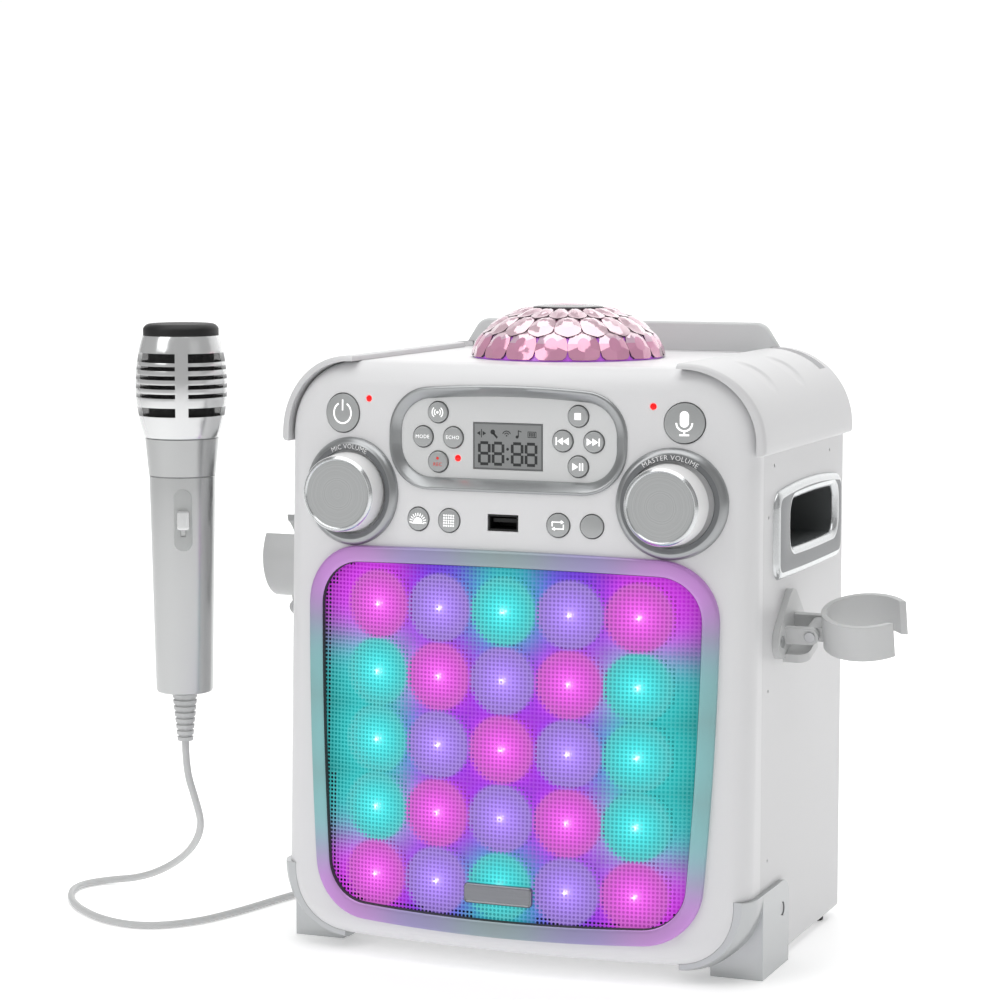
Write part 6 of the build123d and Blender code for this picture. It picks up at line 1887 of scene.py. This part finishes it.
@dataclass
class Knobs:
    """Two volume knobs, with their bezels and words.

    Attributes:
        x: distance of a knob from the middle.
        z: height of the knobs.
        back_y: back of a knob.
        word_radius: of the ring that the words follow.
        word_size: height of the type.
        words: on the left and the right bezel.
    """

    x: float = 76.5
    z: float = 212.9
    back_y: float = -69.4
    word_radius: float = 20.45
    word_size: float = 3.1
    words: tuple[str, str] = ("MIC VOLUME", "MASTER VOLUME")

    def build(self, shop: Workshop) -> None:
        """Turn the knobs, finish the bezels and print the words.

        Args:
            shop: the workshop.
        """
        self._bezels(shop)
        for side, name, word in ((-1, "left_knob", self.words[0]), (1, "right_knob", self.words[1])):
            x = side * self.x
            self._knob(shop, name, x)
            ink = Ink(0.1).word(word, self.word_size, (0, 0), 0, ((0.0, 0.0), self.word_radius))
            net = ink.on((x, 0.0, self.z)).moved(lambda p: (p[0], bow_y(p[0], p[2], 3.45), p[2]))
            shop.piece(name + "_word", net, (PALE_INK,), "cabinet", keep_normals=True)

    def _bezels(self, shop: Workshop) -> None:
        """Ring round each knob: a rounded bright edge and a flat band for the word.

        Args:
            shop: the workshop.
        """
        profile = ((24.6, -1.5), (24.6, 0.2), (24.45, 0.9), (24.0, 1.7), (23.3, 2.5), (22.6, 3.05), (21.9, 3.35),
                   (21.6, 3.4), (19.5, 3.3), (19.2, 3.15), (19.1, 2.8), (19.1, -1.5))
        tones = [0] * 7 + [1] * 2 + [0] * 3
        net = Net()
        for side in (-1, 1):
            loops = [bowed(round_places((side * self.x, self.z), radius, 96), proud) for radius, proud in profile]
            net.join(loops_net(loops, tones=tones, closed=True))
        shop.piece("knob_bezel_rings", net, (SILVER_LACQUER, BAND_LACQUER), "cabinet", ["knob_bezels"], 25.0)

    def _knob(self, shop: Workshop, name: str, x: float) -> None:
        """Knob with a slightly tapered grip, a bright turned chamfer and a spun face.

        Args:
            shop: the workshop.
            name: of its node.
            x: its place across.
        """
        profile = ((0.0, -9.0), (3.0, -9.0), (3.0, 0.0), (17.5, 0.0), (17.95, 0.3), (18.0, 0.8), (17.2, 11.0),
                   (17.0, 11.5), (16.4, 12.3), (15.9, 12.75), (15.5, 12.75), (15.2, 12.5), (15.0, 12.2), (0.0, 12.2))
        tones = (0, 0, 0, 0, 0, 0, 0, 1, 1, 1, 1, 1, 2)
        net = lathe(profile, 96, (x, self.back_y, self.z), (0, -1, 0), tones)
        centre = tuple(shop.row((x, self.back_y, self.z)))
        face = replace(SPUN_FACE, name="spun_aluminium_" + name, centre=centre)
        shop.piece(name + "_turned", net, (KNOB_SIDE, TURNED_RIM, face), name, [name], 35.0)


# ---------------- light dome
@dataclass
class LightDome:
    """Dome of clear overlapping scales over a lit shell, with its cap.

    Attributes:
        y: middle of the dome.
        base_z: level that it starts from.
        rings: radius and rise of the shell's outline.
        sides: scales in a row.
        rows: middle along the outline and length of a row of scales.
        lift: how far the lower tip of a scale stands off the shell.
        bulge: crown of a scale.
    """

    y: float = 9.8
    base_z: float = 271.9
    rings: tuple[Flat, ...] = ((43.8, 0.0), (42.6, 4.4), (39.0, 10.2), (34.6, 14.2), (29.2, 17.4), (23.4, 19.9),
                               (17.4, 21.6))
    sides: int = 18
    rows: tuple[Flat, ...] = ((7.0, 17.4), (19.8, 17.6), (31.6, 15.6))
    lift: float = 1.35
    bulge: float = 1.3

    def build(self, shop: Workshop) -> None:
        """Make the shell, the scales and the cap.

        Args:
            shop: the workshop.
        """
        shell = lathe([(0.0, 0.0), *self.rings, (0.0, 22.0)], self.sides * 4, (0, self.y, self.base_z), (0, 0, 1),
                      [0, 0, 0, 1, 1, 1, 1, 1])
        for number in range(self.sides):
            for row in range(len(self.rows)):
                shell.join(self._scale(row, number))
        shop.piece("scaled_dome", shell, (DOME_VIOLET, DOME_PINK, DOME_PAINTED_LAMP_WASH, DOME_EDGE_PAINTED_SHADE), "light_dome",
                   ["disco_dome"], 9.0)
        cap = lathe(((0.0, 21.8), (16.2, 21.8), (16.4, 22.8), (16.0, 23.3), (13.0, 23.8), (10.3, 24.05), (9.9, 24.0),
                     (9.2, 24.35), (6.0, 24.85), (3.0, 25.05), (0.0, 25.1)), 64, (0, self.y, self.base_z),
                    (0, 0, 1), (0, 0, 0, 0, 0, 0, 1, 1, 1, 1))
        shop.piece("dome_cap_turned", cap, (CAP_GREY, LENS_PINK), "light_dome", ["dome_cap"], 35.0)

    def _place(self, along: float, turn: float, height: float) -> Point:
        """Point above the shell, at a length along its outline and a turn about the axis.

        Args:
            along: length along the outline.
            turn: about the axis.
            height: above the shell.

        Returns:
            The point.
        """
        ends = np.array(self.rings)
        runs = np.concatenate(([0.0], np.cumsum(np.hypot(*np.diff(ends, axis=0).T))))
        at = min(max(along, 0.0), runs[-1])

        def spot(run: float) -> Flat:
            """Radius and rise of the outline at a length along it."""
            return tuple(float(np.interp(min(max(run, 0.0), runs[-1]), runs, ends[:, i])) for i in (0, 1))
        (r0, z0), (r1, z1) = spot(at - 4.0), spot(at + 4.0)
        radius, rise = spot(at)
        length = hypot(r1 - r0, z1 - z0)
        radius += height * (z1 - z0) / length
        rise -= height * (r1 - r0) / length
        return radius * cos(turn), self.y + radius * sin(turn), self.base_z + max(rise, 0.0)

    def _cut(self, across: float, up: float) -> float:
        """Height of a scale's cut faces over its rim.

        Args:
            across: place across the scale, as a share of its width from its middle.
            up: place along it, as a share of its length from its middle.

        Returns:
            The height of the lowest of two flanks, a lower pair, an upper face and a flat crown.
        """
        flank = (1 - abs(across) / 0.5) * 1.5
        lower = (1 - (abs(across) * 0.7 - up) / 0.5) * 1.1
        upper, crown = (0.55 - up) * 2.4, 0.9
        return self.bulge * max(0.0, min(flank, lower, upper, crown))

    def _scale(self, row: int, number: int) -> Net:
        """One scale: a pointed shallow lens whose lower tip stands proud.

        Args:
            row: number of its row.
            number: its number in the row.

        Returns:
            The scale.
        """
        middle, length = self.rows[row]
        pitch = 2 * pi / self.sides
        start = pitch * (number + 0.5 * (row % 2))
        # The right half of the outline, from the lower tip up; the left half mirrors it.
        half = ((0.0, -0.5), (0.18, -0.455), (0.35, -0.39), (0.455, -0.31), (0.495, -0.16), (0.495, 0.06),
                (0.43, 0.24), (0.29, 0.38), (0.13, 0.47), (0.0, 0.5))
        outline = [*half, *((-a, b) for a, b in half[-2:0:-1])]
        net = Net()
        # A skirt down into the shell, the rim, and three rings towards the middle; the skirt takes the painted shade.
        for level, share in enumerate((1.0, 1.0, 0.93, 0.7, 0.4)):
            for a, b in outline:
                height = -0.4 if level == 0 else self.lift * (0.5 - b * share) + self._cut(a * share, b * share)
                net.points.append(self._place(middle + b * share * length, start + a * share * pitch, height))
        count = len(outline)
        for level in range(4):
            for i in range(count):
                j = (i + 1) % count
                # The upper scales, and the upper part of the lowest, are paler as painted lamp wash.
                net.face((level * count + i, level * count + j, (level + 1) * count + j, (level + 1) * count + i),
                         3 if level == 0 else (2 if row or outline[i][1] > 0.2 else 1))
        net.points.append(self._place(middle, start, self.lift * 0.5 + self._cut(0.0, 0.0)))
        for i in range(count):
            net.face((4 * count + i, 4 * count + (i + 1) % count, 5 * count), 2 if row else 1)
        return net


# ---------------- side fittings
@dataclass
class Sides:
    """Handles, microphone holders, feet, screws and what lies inside.

    Attributes:
        trim: outline of a handle trim, along y and z.
        window: outline of the pocket's mouth.
    """

    trim: Lozenge = Lozenge(53.6, 53.6, 175.6, 218.4, 3.0, 0.6, 0.4, 8.0, 23.0)
    window: Lozenge = Lozenge(37.2, 37.2, 188.5, 211.0, 0.8, 0.5, 0.8, 6.5, 28.0)

    def build(self, shop: Workshop) -> None:
        """Finish the side fittings and the inner parts.

        Args:
            shop: the workshop.
        """
        self._trims(shop)
        for fitting in (("handle_pockets", POCKET_GREY), ("holder_bases", HOLDER_GREY),
                        ("left_holder_ring", HOLDER_GREY), ("right_holder_ring", HOLDER_GREY),
                        ("holder_pins", STEEL), ("corner_feet", FOOT_LACQUER, 25.0),
                        ("rear_feet", RUBBER, 30.0, 0.6), ("screws", STEEL), ("jack_panel", BLACK_PLASTIC, 30.0, 0.3)):
            shop.node(*fitting)
        for name, finish in (("control_board", BOARD_GREEN), ("main_board", BOARD_GREEN),
                             ("battery_pack", SLEEVE_BLUE), ("dome_motor", STEEL)):
            shop.keep(name, finish)

    def _trims(self, shop: Workshop) -> None:
        """Handle trims: a rounded outer bevel, a flat band and a bevel into the pocket.

        Args:
            shop: the workshop.
        """
        net = Net()
        for side in (-1, 1):
            loops = []
            for outline, steps in (
                (self.trim, ((0.0, -0.5), (0.0, 0.2), (0.5, 1.1), (1.5, 1.9), (2.6, 2.35), (3.4, 2.45))),
                (self.window, ((-3.2, 2.45), (-2.2, 2.3), (-1.2, 1.8), (-0.4, 1.0), (0.0, 0.2), (0.0, -0.5))),
            ):
                for inset, height in steps:
                    loops.append([(side * (HALF_WIDTH + height), y, z) for y, z in outline.loop(inset)])
            net.join(loops_net(loops, tones=[0] * 5 + [1] + [0] * 6, closed=True))
        # The bevels' paler lacquer is a painted highlight.
        shop.piece("handle_trim_rings", net, (BEVEL_LACQUER_PAINTED_HIGHLIGHT, BAND_LACQUER), "cabinet", ["handle_trims"], 30.0)


# ---------------- microphone
@dataclass
class Microphone:
    """Hand microphone with a slotted head.

    Attributes:
        place: of the axis, across and back.
        levels: end of the handle, lower and upper end of the collar, lower edge of the cap.
        radii: of the handle's end, the handle's top, the collar's top and the cap's edge.
        head: largest radius of the cage and its wall.
    """

    place: Flat = (MIC_X, MIC_Y)
    levels: tuple[float, float, float, float] = (114.4, 216.6, 234.5, 281.7)
    radii: tuple[float, float, float, float] = (13.3, 15.5, 17.2, 17.5)
    head: Flat = (21.3, 1.8)

    def build(self, shop: Workshop) -> None:
        """Finish the microphone's parts.

        Args:
            shop: the workshop.
        """
        for part in (("mic_cap", BLACK_PLASTIC), ("mic_head_cage", MIC_BAND, 30.0, 0.25),
                     ("mic_screen", BLACK_PLASTIC)):
            shop.node(*part)
        self._handle(shop)
        self._gauze(shop)
        shop.node("mic_switch_plate", MIC_PLATE, 30.0, 0.3)
        shop.node("mic_switch", MIC_BAND, 30.0, 0.4)
        shop.node("mic_strain_relief", CORD_GREY, 40.0)

    def _handle(self, shop: Workshop) -> None:
        """Tapered handle and the collar above it, with a fine seam at each end of the collar.

        Args:
            shop: the workshop.
        """
        end, low, high, _ = self.levels
        tail, neck, collar, _ = self.radii
        profile = ((0.0, end), (tail - 1.5, end), (tail - 0.45, end + 0.4), (tail, end + 1.5), (neck - 0.15, low - 0.5),
                   (neck - 0.35, low - 0.3), (neck - 0.35, low), (neck, low + 0.15), (collar - 0.1, high - 0.6),
                   (collar - 0.4, high - 0.45), (collar - 0.4, high), (0.0, high))
        tones = (0, 0, 0, 0, 0, 1, 0, 0, 0, 1, 0)
        net = lathe(profile, 96, (*self.place, 0.0), (0, 0, 1), tones)
        shop.piece("mic_handle_turned", net, (MIC_PEARL, MIC_SEAM), "microphone", ["mic_handle"], 30.0)

    def _gauze(self, shop: Workshop) -> None:
        """Gauze that lines the cage.

        Args:
            shop: the workshop.
        """
        _, _, low, high = self.levels
        _, _, foot, top = self.radii
        widest, wall = self.head
        (cx, cz), radius = circle_through((foot + 0.2, low), (widest, (low + high) / 2), (top + 0.2, high))
        profile = []
        for step in range(13):
            z = low + 1.0 + (high - low - 2.0) * step / 12
            profile.append((cx + sqrt(radius ** 2 - (z - cz) ** 2) - wall - 0.25, z))
        net = lathe(profile, 64, (*self.place, 0.0), (0, 0, 1))
        shop.piece("mic_gauze_liner", net, (MIC_GAUZE,), "microphone", (), 40.0)


def main() -> None:
    """Build the studio and every sub-assembly."""
    logging.basicConfig(level=logging.INFO, format="%(message)s")
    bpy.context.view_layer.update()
    shop = Workshop(frame)
    Studio().build()
    for part in (MicrophoneCord(), Cabinet(), Grille(), Controls(), Knobs(), LightDome(), Sides(), Microphone()):
        log.info("building %s", type(part).__name__)
        part.build(shop)


if __name__ == "__main__":
    main()
